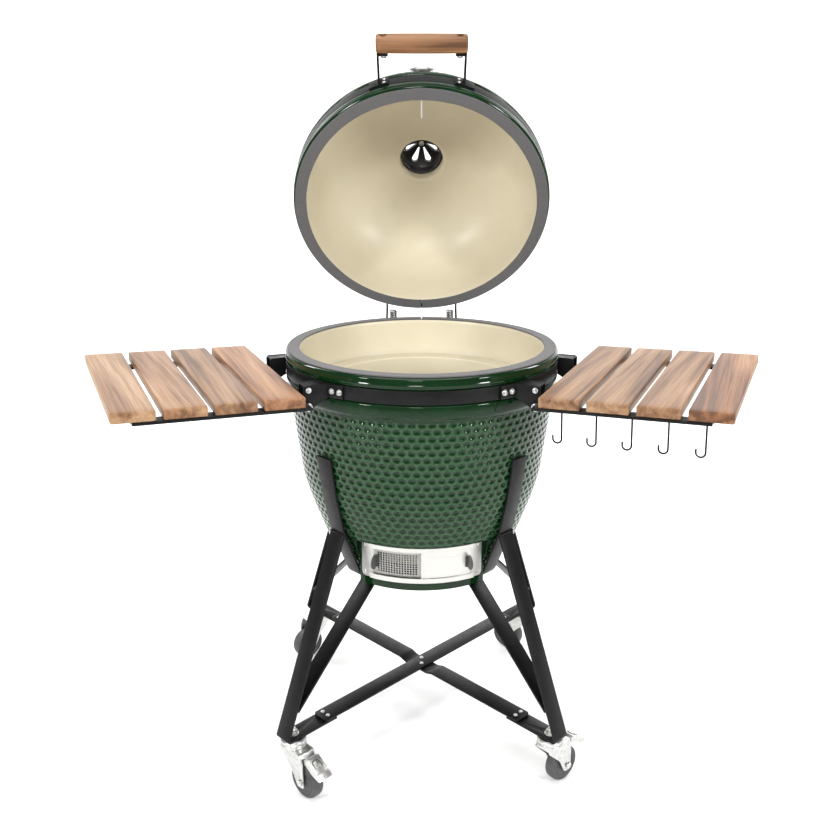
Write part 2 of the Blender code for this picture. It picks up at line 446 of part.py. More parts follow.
# -------------------------------------------------------------- side shelves
for side, sx in (("left", -1), ("right", 1)):
    th0 = math.radians(SHELF_SPLAY)
    U = Vector((sx * math.cos(th0), -math.sin(th0), 0))
    V = Vector((sx * math.sin(th0), math.cos(th0), 0))
    o = Vector((0, BODY_Y, 0))
    # the left side is a mirror image: outlines are placed by (U, V, Z)
    M = frame(o, U, V, (0, 0, 1))
    vm = SHELF_V
    pivot = o + U * PIVOT_U + V * vm
    SH = empty("shelf_pivot_" + side, (pivot.x, pivot.y, PIVOT_Z), ROOT)
    LIFT = Matrix.Translation((pivot.x, pivot.y, PIVOT_Z)) @ Matrix.Rotation(math.radians(-SHELF_TILT * sx), 4, V) @ \
        Matrix.Translation((-pivot.x, -pivot.y, -PIVOT_Z))
    for k in range(4):
        u0 = SHELF_U + k * SLAT_PITCH
        bm = box(u0, u0 + SLAT_W, vm - SLAT_L / 2, vm + SLAT_L / 2, SLAT_TOP - SLAT_T, SLAT_TOP, M)
        bmesh.ops.bevel(bm, geom=list(bm.edges), offset=0.0025, segments=1, affect='EDGES')
        finish(place(bm, LIFT), f"{side}_slat_{k + 1}", WOOD, SH)
    z1 = SLAT_TOP - SLAT_T - 0.0003
    z0 = z1 - RAIL_T
    uo = SHELF_U + 3 * SLAT_PITCH + SLAT_W - 0.035
    vf = vm - SLAT_L / 2
    vr = vm + SLAT_L / 2 - 0.025
    rail_f = box(SHELF_U - 0.0120, uo, vf, vf + 0.030, z0, z1, M)
    steps = [('UNION', box(SHELF_U - 0.0120, uo, vr - 0.030, vr, z0, z1, M)),
             ('UNION', box(SHELF_U - 0.0122, SHELF_U + 0.0160, vf + 0.0002, vr - 0.0002, z0 + 0.0001, z1 - 0.0001, M))]
    for vb in (-0.1150, 0.1150):
        lug = strip([(PIVOT_U, PIVOT_Z), (PIVOT_U + 0.004, PIVOT_Z)], 0.0)
        tri = [(SHELF_U - 0.0110, z0 + 0.002), (SHELF_U + 0.0150, z0 + 0.002)] + \
            [(x, z) for x, z in arc_pts(0.0085, -50, -230, 6, PIVOT_U, PIVOT_Z)]
        Mw = frame(o, U, (0, 0, 1), V)
        for dv in (-0.0215, 0.0175):
            steps.append(('UNION', prism(tri, vb + dv, vb + dv + 0.0040, Mw)))
        steps.append(('DIFFERENCE', place(disc(0.0043, vb - 0.03, vb + 0.03, 12), frame(o + U * PIVOT_U + Vector((0, 0, PIVOT_Z)), U, (0, 0, 1), V))))
    if side == "right":
        for k in range(5):
            u = SHELF_U + 0.0400 + k * 0.0620
            hook = [(0, 0.003), (0, -0.052)] + [(-0.008 + 0.008 * math.cos(math.radians(a)), -0.052 + 0.008 * math.sin(math.radians(a))) for a in (-45, -90, -135, -180)] + [(-0.016, -0.046)]
            out = strip(hook, 0.0036)
            steps.append(('UNION', prism(out, vf + 0.0130, vf + 0.0166, frame(o + U * u + Vector((0, 0, z0)), U, (0, 0, 1), V))))
    bm = place(combine(rail_f, steps), LIFT)
    finish(bm, side + "_shelf_frame", BLACK, SH)
    # brackets on the band: a strap that follows it and an arm out to the pivot
    for which, vb in (("front", -0.1150), ("rear", 0.1150)):
        rb = BAND_R + BAND_T + 0.0004
        ub = math.sqrt(rb ** 2 - vb ** 2)
        mid = math.degrees(math.atan2(vb, ub))
        pad = sector(rb, rb + 0.0040, RIM_Z + BASE_BAND_Z[0] + 0.0005, RIM_Z + BASE_BAND_Z[1] - 0.0005, mid + (-4.0 if vb < 0 else 4.0), 7.0, 4)
        ctop = RIM_Z + BASE_BAND_Z[1] - 0.0010
        arm = [(ub - 0.012, RIM_Z + BASE_BAND_Z[0] + 0.001), (ub - 0.012, ctop), (0.2900, ctop + 0.0006), (0.2944, ctop - 0.0030), (0.2944, PIVOT_Z + 0.0092),
               (PIVOT_U + 0.0030, PIVOT_Z + 0.0085)] + arc_pts(0.0090, 40, -110, 6, PIVOT_U, PIVOT_Z)
        Mw = frame(o, U, (0, 0, 1), V)
        a1 = prism(arm, vb - 0.0170, vb - 0.0135, Mw)
        a2 = prism(arm, vb + 0.0135, vb + 0.0170, Mw)
        web = prism([(ub + 0.004, ctop - 0.0035), (ub + 0.004, ctop - 0.0005), (0.2935, ctop - 0.0005), (0.2935, ctop - 0.0035)],
                    vb - 0.0150, vb + 0.0150, Mw)
        cut = spin([(0.10, RIM_Z - 0.09), (0.2802, RIM_Z - 0.09), (0.2802, RIM_Z - 0.0530), (rb, RIM_Z - 0.0530), (rb, RIM_Z), (0.10, RIM_Z)], SEG)
        bore = place(disc(0.0043, vb - 0.03, vb + 0.03, 12), frame(o + U * PIVOT_U + Vector((0, 0, PIVOT_Z)), U, (0, 0, 1), V))
        bm = combine(place(pad, M), [('UNION', a1), ('UNION', a2), ('UNION', web),
                                     ('DIFFERENCE', place(cut, AXIS)), ('DIFFERENCE', bore)])
        finish(bm, f"{side}_{which}_bracket", BLACK, ROOT)
    rod = [(0.0, -0.1420), (0.0075, -0.1420), (0.0075, -0.1372), (0.0040, -0.1372), (0.0040, 0.1372),
           (0.0075, 0.1372), (0.0075, 0.1420), (0.0, 0.1420)]
    finish(turned(frame(o + U * PIVOT_U + Vector((0, 0, PIVOT_Z)), U, (0, 0, 1), V), rod, 12), side + "_pivot_rod", ZINC, ROOT)

# -------------------------------------------------------------------- stand
cradle = [(0.2664, 0.6965), (0.2542, 0.6100), (0.2362, 0.5305), (0.1925, 0.4265), (0.1500, 0.3990)]
strut_out = [(0.2362, 0.5305), (0.3972, 0.1235), (0.2700, 0.1235)]
strut_in = [(0.1520, 0.4000), (0.3690, 0.1830)]
legs = None
for name, az in (("front_left", 225), ("front_right", 315), ("rear_left", 135), ("rear_right", 45)):
    e = empty("leg_" + name + "_place", (0, BODY_Y, 0), ROOT)
    if legs is None:
        Mr = frame((0, 0, 0), (1, 0, 0), (0, 0, 1), (0, -1, 0))
        bm = prism(strip(cradle, BAR_T), -BAR_W / 2, BAR_W / 2, Mr)
        bm = combine(bm, [('UNION', prism(strip(strut_out, BAR_T), -BAR_W / 2 + 0.0002, BAR_W / 2 - 0.0002, Mr)),
                          ('UNION', prism(strip(strut_in, BAR_T), -BAR_W / 2 + 0.0004, BAR_W / 2 - 0.0004, Mr)),
                          ('DIFFERENCE', disc(0.0063, 0.10, 0.14, 12, Matrix.Translation((STEM_RADIUS, 0, 0))))])
        ob = finish(bm, "leg_" + name, BLACK)
        legs = ob.data
    else:
        ob = bpy.data.objects.new("leg_" + name, legs)
        SCENE.objects.link(ob)
    ob.parent = e
    ob.location = (0, 0, 0)
    e.rotation_euler = (0, 0, math.radians(az))

CZ = FOOT_Z + BAR_T + 0.0003
xe = 0.3020               # the bars lap onto the foot plates
for name, az, dip in (("cross_bar_upper", 45, 0.0), ("cross_bar_lower", 135, -(BAR_T + 0.0004))):
    c = CZ + BAR_T / 2
    path = [(-xe, c), (-0.0500, c), (-0.0340, c + dip), (0.0340, c + dip), (0.0500, c), (xe, c)] if dip else [(-xe, c), (xe, c)]
    Mr = frame((0, 0, 0), (1, 0, 0), (0, 0, 1), (0, -1, 0))
    bm = prism(strip(path, BAR_T), -BAR_W / 2, BAR_W / 2, Mr)
    place(bm, Matrix.Translation((0, BODY_Y, 0)) @ Matrix.Rotation(math.radians(az), 4, 'Z'))
    finish(bm, name, BLACK, ROOT)

# ------------------------------------------------------------------ casters
fork_mesh = wheel_mesh = pedal_mesh = None
for name, az in (("front_left", 225), ("front_right", 315), ("rear_left", 135), ("rear_right", 45)):
    a = math.radians(az)
    sxp, syp = STEM_RADIUS * math.cos(a), BODY_Y + STEM_RADIUS * math.sin(a)
    e = empty("swivel_" + name, (sxp, syp, FOOT_Z), ROOT)
    ang = math.radians(CASTER_ANGLE[name])
    if fork_mesh is None:
        # yoke along +x, stem at the origin, floor at z = 0 here
        side_pts = [(-0.0230, 0.1020), (-0.0230, 0.0960), (0.0280, 0.0300), (0.0400, 0.0260), (0.0500, 0.0300), (0.0520, 0.0400),
                    (0.0480, 0.0860), (0.0400, 0.1020)]
        Mx = frame((0, 0, 0), (1, 0, 0), (0, 0, 1), (0, -1, 0))
        across = frame((TRAIL, 0, WHEEL_R), (1, 0, 0), (0, 0, 1), (0, -1, 0))
        bm = prism(side_pts, -0.0190, 0.0190, Mx)
        bm = combine(bm, [('DIFFERENCE', box(-0.10, 0.10, -0.0165, 0.0165, 0.0, 0.0990)),
                          ('UNION', disc(0.0270, 0.1010, 0.1205, 18)),
                          ('UNION', disc(0.0055, 0.1195, 0.1400, 12)),
                          ('UNION', disc(0.0095, FOOT_Z + BAR_T + 0.0004, 0.1336, 6)),
                          ('UNION', place(disc(0.0040, -0.0220, 0.0220, 12), across)),
                          ('UNION', place(disc(0.0075, -0.0235, -0.0185, 6), across)),
                          ('UNION', place(disc(0.0075, 0.0185, 0.0235, 6), across))])
        place(bm, Matrix.Translation((0, 0, -FOOT_Z)))
        ob = finish(bm, "caster_fork_" + name, ZINC)
        fork_mesh = ob.data
        tyre = [(0.0043, -0.0130), (0.0120, -0.0130), (0.0140, -0.0100), (0.0330, -0.0130), (WHEEL_R, -0.0060),
                (WHEEL_R, 0.0060), (0.0330, 0.0130), (0.0140, 0.0100), (0.0120, 0.0130), (0.0043, 0.0130)]
        # the wheel's own axis is y
        bm = place(spin(tyre, 24), Matrix.Rotation(math.radians(90), 4, 'X'))
        wh = finish(bm, "caster_wheel_" + name, RUBBER)
        wheel_mesh = wh.data
        # brake pedal, a channel in front of the yoke
        prof = [(-0.0060, 0.0030), (0.0020, 0.0060), (0.0330, -0.0120), (0.0440, -0.0230), (0.0400, -0.0260), (0.0200, -0.0200), (-0.0040, -0.0060)]
        bm = prism(prof, -0.0160, 0.0160, Mx)
        inner_cut = prism([(-0.0200, 0.0000), (0.0015, 0.0035), (0.0320, -0.0145), (0.0400, -0.0235), (0.0380, -0.0300), (-0.0200, -0.0300)], -0.0140, 0.0140, Mx)
        bm = combine(bm, [('DIFFERENCE', inner_cut)])
        pd = finish(bm, "brake_pedal_" + name, ZINC)
        pedal_mesh = pd.data
    else:
        ob = bpy.data.objects.new("caster_fork_" + name, fork_mesh)
        SCENE.objects.link(ob)
        wh = bpy.data.objects.new("caster_wheel_" + name, wheel_mesh)
        SCENE.objects.link(wh)
        pd = None
        if name == "front_right":
            pd = bpy.data.objects.new("brake_pedal_" + name, pedal_mesh)
            SCENE.objects.link(pd)
    ob.parent = e
    ob.location = (0, 0, 0)
    wh.parent = e
    wh.location = (TRAIL, 0, WHEEL_R - FOOT_Z)
    if pd:
        pd.parent = e
        pd.location = (0.0560, 0, 0.0930 - FOOT_Z)
    e.rotation_euler = (0, 0, ang)

LID.rotation_euler = (math.radians(-LID_OPEN), 0, 0)
bpy.context.view_layer.update()
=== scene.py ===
import math

import bmesh
import bpy
import numpy as np
from mathutils import Matrix, Vector


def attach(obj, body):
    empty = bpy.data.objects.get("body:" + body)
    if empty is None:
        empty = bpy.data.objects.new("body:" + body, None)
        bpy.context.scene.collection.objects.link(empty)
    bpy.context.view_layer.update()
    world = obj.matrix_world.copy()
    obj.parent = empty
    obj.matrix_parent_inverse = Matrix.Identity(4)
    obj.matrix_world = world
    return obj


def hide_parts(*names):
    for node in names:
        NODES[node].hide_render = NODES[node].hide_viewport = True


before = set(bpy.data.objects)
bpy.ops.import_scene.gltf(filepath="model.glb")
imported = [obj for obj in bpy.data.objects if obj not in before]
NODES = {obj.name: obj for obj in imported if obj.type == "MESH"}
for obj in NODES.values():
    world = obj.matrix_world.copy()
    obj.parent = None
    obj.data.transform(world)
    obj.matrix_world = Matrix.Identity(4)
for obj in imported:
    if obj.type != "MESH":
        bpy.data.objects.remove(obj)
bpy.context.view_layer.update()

SCENE = bpy.context.scene.collection

BY = -0.01421
H = 0.880
BASE_BAND = (-0.0525, -0.0265)
LID_BAND = (0.0280, 0.0540)
HINGE_Y, HINGE_DZ = 0.3075, -0.036
FOOT_Z, BAR_T, BAR_W, STEM_R = 0.121, 0.005, 0.040, 0.370
RIM = Matrix.Translation((0, BY, H))
AXIS = Matrix.Translation((0, BY, 0))
PIVOT = Vector((0, BY + HINGE_Y, H + HINGE_DZ))
LIDM = Matrix.Translation(PIVOT) @ Matrix.Rotation(math.radians(-62.0), 4, 'X') @ Matrix.Translation(-PIVOT)
I4 = Matrix.Identity(4)
LEG_AZ = {"front_left": 225, "front_right": 315, "rear_left": 135, "rear_right": 45}
CASTER_ANGLE = {"front_left": -43.7, "front_right": 43.3, "rear_left": -140.5, "rear_right": 147.6}


# ------------------------------------------------------------------ materials
class Mat:
    """Small helper round one Principled material."""

    def __init__(self, name, **sockets):
        self.m = bpy.data.materials.new(name)
        self.m.use_nodes = True
        self.nt = self.m.node_tree
        self.b = self.nt.nodes["Principled BSDF"]
        for k, v in sockets.items():
            self.b.inputs[k.replace("_", " ")].default_value = v

    def n(self, kind, **kw):
        nd = self.nt.nodes.new(kind)
        for k, v in kw.items():
            setattr(nd, k, v)
        return nd

    def link(self, a, b):
        self.nt.links.new(a, b)

    def coords(self, scale=(1, 1, 1), attribute=None, offset=(0, 0, 0)):
        if attribute:
            src = self.n("ShaderNodeAttribute", attribute_name=attribute).outputs["Vector"]
        else:
            src = self.n("ShaderNodeTexCoord").outputs["Object"]
        mp = self.n("ShaderNodeMapping")
        mp.inputs["Scale"].default_value = scale
        mp.inputs["Location"].default_value = offset
        self.link(src, mp.inputs["Vector"])
        return mp.outputs["Vector"]

    def noise(self, vec, scale, detail=3.0, rough=0.5, distort=0.0, out="Fac"):
        nd = self.n("ShaderNodeTexNoise")
        nd.inputs["Scale"].default_value = scale
        nd.inputs["Detail"].default_value = detail
        nd.inputs["Roughness"].default_value = rough
        nd.inputs["Distortion"].default_value = distort
        self.link(vec, nd.inputs["Vector"])
        return nd.outputs[out]

    def ramp(self, fac, stops, interp='LINEAR'):
        nd = self.n("ShaderNodeValToRGB")
        cr = nd.color_ramp
        cr.interpolation = interp
        while len(cr.elements) < len(stops):
            cr.elements.new(0.5)
        for e, (p, c) in zip(cr.elements, stops):
            e.position = p
            e.color = (*c, 1.0) if hasattr(c, "__len__") else (c, c, c, 1.0)
        self.link(fac, nd.inputs["Fac"])
        return nd.outputs["Color"]

    def math(self, op, a, b=None, clamp=False):
        nd = self.n("ShaderNodeMath", operation=op, use_clamp=clamp)
        for i, v in enumerate((a, b)):
            if v is None:
                continue
            if isinstance(v, (int, float)):
                nd.inputs[i].default_value = v
            else:
                self.link(v, nd.inputs[i])
        return nd.outputs[0]

    def mix(self, fac, a, b, mode='MIX'):
        nd = self.n("ShaderNodeMix", data_type='RGBA', blend_type=mode)
        for sock, v in ((nd.inputs[0], fac), (nd.inputs[6], a), (nd.inputs[7], b)):
            if isinstance(v, (int, float)):
                sock.default_value = v
            elif hasattr(v, "__len__"):
                sock.default_value = (*v, 1.0)
            else:
                self.link(v, sock)
        return nd.outputs[2]

    def colour(self, out):
        self.link(out, self.b.inputs["Base Color"])

    def rough(self, out):
        self.link(out, self.b.inputs["Roughness"])

    def bump(self, heights):
        """heights: list of (output, strength, distance)."""
        last = None
        for out, strength, dist in heights:
            nd = self.n("ShaderNodeBump")
            nd.inputs["Strength"].default_value = strength
            nd.inputs["Distance"].default_value = dist
            self.link(out, nd.inputs["Height"])
            if last is not None:
                self.link(last, nd.inputs["Normal"])
            last = nd.outputs["Normal"]
        self.link(last, self.b.inputs["Normal"])


def make_glaze():
    m = Mat("green_glaze", IOR=1.5)
    m.b.inputs["Specular IOR Level"].default_value = 0.30
    m.b.inputs["Coat Weight"].default_value = 0.0
    m.b.inputs["Coat Roughness"].default_value = 0.04
    v = m.coords()
    # The ridge mask paints the ridges between the pits a lighter, greyer green. That green is partly the glaze's colour
    # and partly a painted reflection (sheen) of the white surroundings on the ridge tops. deep is the glaze's own
    # green, in the pits and on the smooth belt.
    ridge = m.n("ShaderNodeAttribute", attribute_name="ridge").outputs["Fac"]
    cloud = m.noise(v, 9.0, 3.0, 0.6)
    fine = m.noise(v, 160.0, 3.0, 0.6)
    deep = m.mix(m.ramp(cloud, [(0.35, 0.0), (0.65, 1.0)]), (0.0020, 0.0170, 0.0038), (0.0036, 0.0240, 0.0060))
    ridge_sheen_green = m.mix(m.ramp(fine, [(0.35, 0.0), (0.65, 1.0)]), (0.0150, 0.0520, 0.0185), (0.0270, 0.0730, 0.0310))
    edge = m.math('ADD', ridge, m.math('MULTIPLY', m.math('SUBTRACT', fine, 0.5), 0.30))
    m.colour(m.mix(m.ramp(edge, [(0.45, 0.0), (1.05, 1.0)]), deep, ridge_sheen_green))
    m.rough(m.ramp(m.noise(v, 40.0, 2.0), [(0.3, 0.05), (0.7, 0.10)]))
    m.bump([(m.noise(v, 55.0, 2.0, 0.5), 0.10, 0.002), (fine, 0.05, 0.0006)])
    return m.m


def make_cream():
    m = Mat("cream_ceramic", IOR=1.45)
    m.b.inputs["Coat Weight"].default_value = 0.12
    m.b.inputs["Coat Roughness"].default_value = 0.25
    v = m.coords()
    cloud = m.noise(v, 6.0, 4.0, 0.6)
    speck = m.noise(v, 900.0, 2.0, 0.7)
    base = m.mix(m.ramp(cloud, [(0.3, 0.0), (0.7, 1.0)]), (0.590, 0.535, 0.398), (0.650, 0.592, 0.450))
    m.colour(m.mix(m.ramp(speck, [(0.66, 0.0), (0.78, 0.35)]), base, (0.50, 0.41, 0.26)))
    m.rough(m.ramp(m.noise(v, 25.0, 3.0), [(0.3, 0.38), (0.7, 0.52)]))
    m.bump([(m.noise(v, 18.0, 3.0, 0.5), 0.15, 0.003), (m.noise(v, 420.0, 2.0), 0.10, 0.0004)])
    return m.m


def make_felt():
    m = Mat("grey_felt", Roughness=0.95)
    m.b.inputs["Sheen Weight"].default_value = 0.12
    m.b.inputs["Sheen Roughness"].default_value = 0.5
    v = m.coords()
    fibre = m.noise(m.coords(scale=(1, 1, 3)), 520.0, 5.0, 0.75, 0.8)
    cloud = m.noise(v, 30.0, 4.0, 0.6)
    base = m.mix(m.ramp(fibre, [(0.30, 0.0), (0.70, 1.0)]), (0.050, 0.049, 0.050), (0.150, 0.146, 0.147))
    m.colour(m.mix(m.ramp(cloud, [(0.35, 0.0), (0.7, 0.45)]), base, (0.105, 0.100, 0.104)))
    m.bump([(fibre, 0.55, 0.0010), (cloud, 0.25, 0.0015)])
    return m.m


def make_black():
    m = Mat("black_steel", Metallic=0.0, IOR=1.5)
    m.b.inputs["Specular IOR Level"].default_value = 0.22
    v = m.coords()
    grain = m.noise(v, 1500.0, 2.0, 0.6)
    cloud = m.noise(v, 14.0, 3.0, 0.6)
    m.colour(m.mix(m.ramp(cloud, [(0.3, 0.0), (0.7, 1.0)]), (0.0030, 0.0031, 0.0032), (0.0062, 0.0064, 0.0066)))
    m.rough(m.ramp(m.noise(v, 90.0, 3.0), [(0.3, 0.34), (0.7, 0.46)]))
    m.bump([(grain, 0.22, 0.0004), (m.noise(v, 260.0, 2.0), 0.10, 0.0006)])
    return m.m


def make_iron():
    m = Mat("cast_iron", Metallic=0.0, IOR=1.5)
    m.b.inputs["Coat Weight"].default_value = 0.5
    m.b.inputs["Coat Roughness"].default_value = 0.12
    v = m.coords()
    grain = m.noise(v, 420.0, 4.0, 0.7)
    m.colour(m.mix(m.ramp(grain, [(0.35, 0.0), (0.7, 1.0)]), (0.0065, 0.0065, 0.0068), (0.0165, 0.0165, 0.0170)))
    m.rough(m.ramp(m.noise(v, 70.0, 3.0), [(0.3, 0.30), (0.7, 0.48)]))
    m.bump([(grain, 0.30, 0.0005)])
    return m.m


def make_wood(name="oiled_hardwood", depth=(1.0, 1.0, 1.0)):
    m = Mat(name, IOR=1.45)
    m.b.inputs["Coat Weight"].default_value = 0.10
    m.b.inputs["Coat Roughness"].default_value = 0.30
    tone = m.n("ShaderNodeAttribute", attribute_name="tone").outputs["Fac"]
    figure = m.noise(m.coords((19.0, 1.5, 19.0), "grain"), 1.0, 2.0, 0.5, 1.1)
    rings = m.noise(m.coords((90.0, 2.4, 90.0), "grain"), 1.0, 3.0, 0.55, 0.5)
    lines = m.noise(m.coords((420.0, 6.0, 420.0), "grain"), 1.0, 2.0, 0.5, 0.2)
    pores = m.noise(m.coords((2300.0, 60.0, 2300.0), "grain"), 1.0, 2.0, 0.6)
    base = m.ramp(m.math('ADD', figure, m.math('MULTIPLY', m.math('SUBTRACT', rings, 0.5), 0.55)),
                  [(0.30, (0.098, 0.046, 0.019)), (0.40, (0.185, 0.096, 0.043)), (0.50, (0.270, 0.152, 0.076)),
                   (0.60, (0.335, 0.203, 0.108)), (0.72, (0.420, 0.278, 0.158))])
    base = m.mix(m.ramp(lines, [(0.34, 0.34), (0.50, 0.0)]), base, (0.150, 0.072, 0.032))
    base = m.mix(m.ramp(pores, [(0.30, 0.34), (0.44, 0.0)]), base, (0.120, 0.046, 0.020))
    warm = m.mix(1.0, base, (1.04, 0.84, 0.72), 'MULTIPLY')
    # depth multiplies the finished colour; below 1 it paints shade into the wood, as in the grip's darker copy.
    m.colour(m.mix(1.0, m.mix(tone, base, warm), depth, 'MULTIPLY'))
    m.rough(m.ramp(lines, [(0.3, 0.56), (0.7, 0.42)]))
    m.bump([(lines, 0.16, 0.0005), (pores, 0.14, 0.0003)])
    return m.m


def make_steel():
    m = Mat("brushed_steel", Metallic=1.0)
    v = m.coords()
    brush = m.noise(m.coords((4.0, 4.0, 900.0)), 2.0, 4.0, 0.65)
    m.colour(m.mix(m.ramp(brush, [(0.3, 0.0), (0.7, 1.0)]), (0.600, 0.595, 0.565), (0.760, 0.752, 0.715)))
    m.rough(m.ramp(brush, [(0.3, 0.30), (0.7, 0.44)]))
    m.bump([(brush, 0.10, 0.0003), (m.noise(v, 30.0, 2.0), 0.06, 0.002)])
    return m.m


def make_zinc():
    m = Mat("zinc_steel", Metallic=1.0)
    v = m.coords()
    spangle = m.noise(v, 120.0, 4.0, 0.7, 0.4)
    m.colour(m.mix(m.ramp(spangle, [(0.3, 0.0), (0.7, 1.0)]), (0.560, 0.562, 0.555), (0.760, 0.758, 0.735)))
    m.rough(m.ramp(spangle, [(0.3, 0.24), (0.7, 0.42)]))
    m.bump([(m.noise(v, 300.0, 3.0), 0.10, 0.0004)])
    return m.m


def make_rubber():
    m = Mat("grey_rubber", Roughness=0.6)
    v = m.coords()
    dust = m.noise(v, 60.0, 4.0, 0.65)
    m.colour(m.mix(m.ramp(dust, [(0.35, 0.0), (0.75, 1.0)]), (0.042, 0.042, 0.043), (0.090, 0.090, 0.091)))
    m.rough(m.ramp(dust, [(0.3, 0.50), (0.7, 0.68)]))
    m.bump([(m.noise(v, 700.0, 3.0), 0.18, 0.0004)])
    return m.m


def make_dark_tab():
    m = Mat("dark_coated_steel", Metallic=0.2)
    v = m.coords()
    grain = m.noise(v, 700.0, 3.0, 0.6)
    m.colour(m.mix(m.ramp(grain, [(0.3, 0.0), (0.7, 1.0)]), (0.055, 0.055, 0.055), (0.110, 0.110, 0.108)))
    m.rough(m.ramp(grain, [(0.3, 0.36), (0.7, 0.52)]))
    m.bump([(grain, 0.18, 0.0004)])
    return m.m


def make_enamel():
    m = Mat("white_dial_enamel", Roughness=0.35)
    v = m.coords()
    cloud = m.noise(v, 60.0, 3.0)
    m.colour(m.mix(m.ramp(cloud, [(0.3, 0.0), (0.7, 1.0)]), (0.76, 0.76, 0.74), (0.84, 0.84, 0.82)))
    m.bump([(m.noise(v, 500.0, 2.0), 0.05, 0.0003)])
    return m.m


def make_floor():
    m = Mat("pale_floor", Roughness=0.9)
    v = m.coords()
    cloud = m.noise(v, 1.2, 3.0)
    m.colour(m.mix(m.ramp(cloud, [(0.3, 0.0), (0.7, 1.0)]), (0.925, 0.925, 0.925), (0.945, 0.945, 0.945)))
    return m.m


GLAZE, CREAM, FELT, BLACK, IRON = make_glaze(), make_cream(), make_felt(), make_black(), make_iron()
# The grip gets a darker copy of the wood: painted shade that tones down the grip, whose surfaces face up to the lamps.
GRIP_WOOD = make_wood("oiled_grip_wood_painted_shade", (0.85, 0.80, 0.70))
WOOD, STEEL, ZINC, RUBBER, TAB, ENAMEL = make_wood(), make_steel(), make_zinc(), make_rubber(), make_dark_tab(), make_enamel()
FLOOR = make_floor()


# ------------------------------------------------------------------- helpers
def place(bm, matrix):
    bmesh.ops.transform(bm, matrix=matrix, verts=bm.verts)
    return bm


def axes(origin, ex, ey, ez):
    return Matrix(((ex[0], ey[0], ez[0], origin[0]),
                   (ex[1], ey[1], ez[1], origin[1]),
                   (ex[2], ey[2], ez[2], origin[2]),
                   (0, 0, 0, 1)))


def soft(bm, w=0.0006, seg=2, angle=28.0):
    """Ease every edge sharper than angle."""
    bmesh.ops.recalc_face_normals(bm, faces=bm.faces)
    lim = math.radians(angle)
    es = [e for e in bm.edges if len(e.link_faces) == 2 and e.calc_face_angle(0.0) > lim]
    if es:
        bmesh.ops.bevel(bm, geom=es, offset=w, offset_type='OFFSET', segments=seg, profile=0.5,
                        affect='EDGES', clamp_overlap=True)
    return bm


def cad(node, w=0.0006, seg=2, angle=28.0):
    """The node's own solid with clean faces and eased edges."""
    bm = bmesh.new()
    bm.from_mesh(NODES[node].data)
    bmesh.ops.remove_doubles(bm, verts=bm.verts, dist=2e-6)
    bmesh.ops.dissolve_limit(bm, angle_limit=math.radians(0.6), verts=bm.verts, edges=bm.edges)
    return soft(bm, w, seg, angle)


def join(*items):
    out = bmesh.new()
    for item in items:
        b, mi = item if isinstance(item, tuple) else (item, 0)
        for f in b.faces:
            f.material_index = mi
        me = bpy.data.meshes.new("join")
        b.to_mesh(me)
        b.free()
        out.from_mesh(me)
        bpy.data.meshes.remove(me)
    return out


def emit(bm, name, mats, body, nodes, sharp=32.0, matrix=None):
    """A bmesh in row-frame coordinates becomes a piece that rides on a body."""
    if matrix is not None:
        place(bm, matrix)
    me = bpy.data.meshes.new(name)
    bmesh.ops.recalc_face_normals(bm, faces=bm.faces)
    bm.to_mesh(me)
    bm.free()
    return settle(me, name, mats, body, nodes, sharp)


def settle(me, name, mats, body, nodes, sharp=32.0):
    for mt in (mats if isinstance(mats, (list, tuple)) else [mats]):
        me.materials.append(mt)
    me.shade_smooth()
    me.set_sharp_from_angle(angle=math.radians(sharp))
    ob = bpy.data.objects.new(name, me)
    SCENE.objects.link(ob)
    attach(ob, body)
    if nodes:
        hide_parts(*([nodes] if isinstance(nodes, str) else nodes))
    return ob


def rounded(profile, r, n=3, closed=True):
    """Round the corners of an outline of (a, b) points."""
    out = []
    m = len(profile)
    for i, p in enumerate(profile):
        p = np.array(p, float)
        if not closed and i in (0, m - 1):
            out.append(tuple(p))
            continue
        a, b = np.array(profile[i - 1], float), np.array(profile[(i + 1) % m], float)
        da, db = a - p, b - p
        la, lb = np.linalg.norm(da), np.linalg.norm(db)
        if la < 1e-9 or lb < 1e-9 or abs(p[0]) < 1e-9:
            out.append(tuple(p))
            continue
        da, db = da / la, db / lb
        k = min(r, la * 0.45, lb * 0.45)
        if np.dot(da, db) < -0.985:
            out.append(tuple(p))
            continue
        s, e = p + da * k, p + db * k
        for j in range(n + 1):
            t = j / n
            out.append(tuple(s * (1 - t) ** 2 + p * 2 * t * (1 - t) + e * t ** 2))
    return out


def spin(profile, seg=96, a0=0.0, turn=360.0):
    """Revolve a closed outline of (r, z) about z. Faces are quads, poles are fans."""
    bm = bmesh.new()
    full = abs(turn - 360.0) < 1e-6
    cols = seg if full else seg + 1
    grid = []
    for r, z in profile:
        if abs(r) < 1e-8:
            grid.append([bm.verts.new((0, 0, z))] * cols)
        else:
            row = []
            for i in range(cols):
                a = math.radians(a0 + turn * i / seg)
                row.append(bm.verts.new((r * math.cos(a), r * math.sin(a), z)))
            grid.append(row)
    m = len(profile)
    for j in range(m):
        A, B = grid[j], grid[(j + 1) % m]
        for i in range(seg):
            k = (i + 1) % cols
            vs = []
            for v in (A[i], A[k], B[k], B[i]):
                if v not in vs:
                    vs.append(v)
            if len(vs) > 2:
                try:
                    bm.faces.new(vs)
                except ValueError:
                    pass
    if not full:
        bm.faces.new([row[0] for row in grid])
        bm.faces.new([row[-1] for row in grid][::-1])
    bmesh.ops.recalc_face_normals(bm, faces=bm.faces)
    return bm


def sector(r0, r1, z0, z1, mid, half, seg=14):
    return spin([(r0, z0), (r1, z0), (r1, z1), (r0, z1)], seg, mid - half, 2 * half)


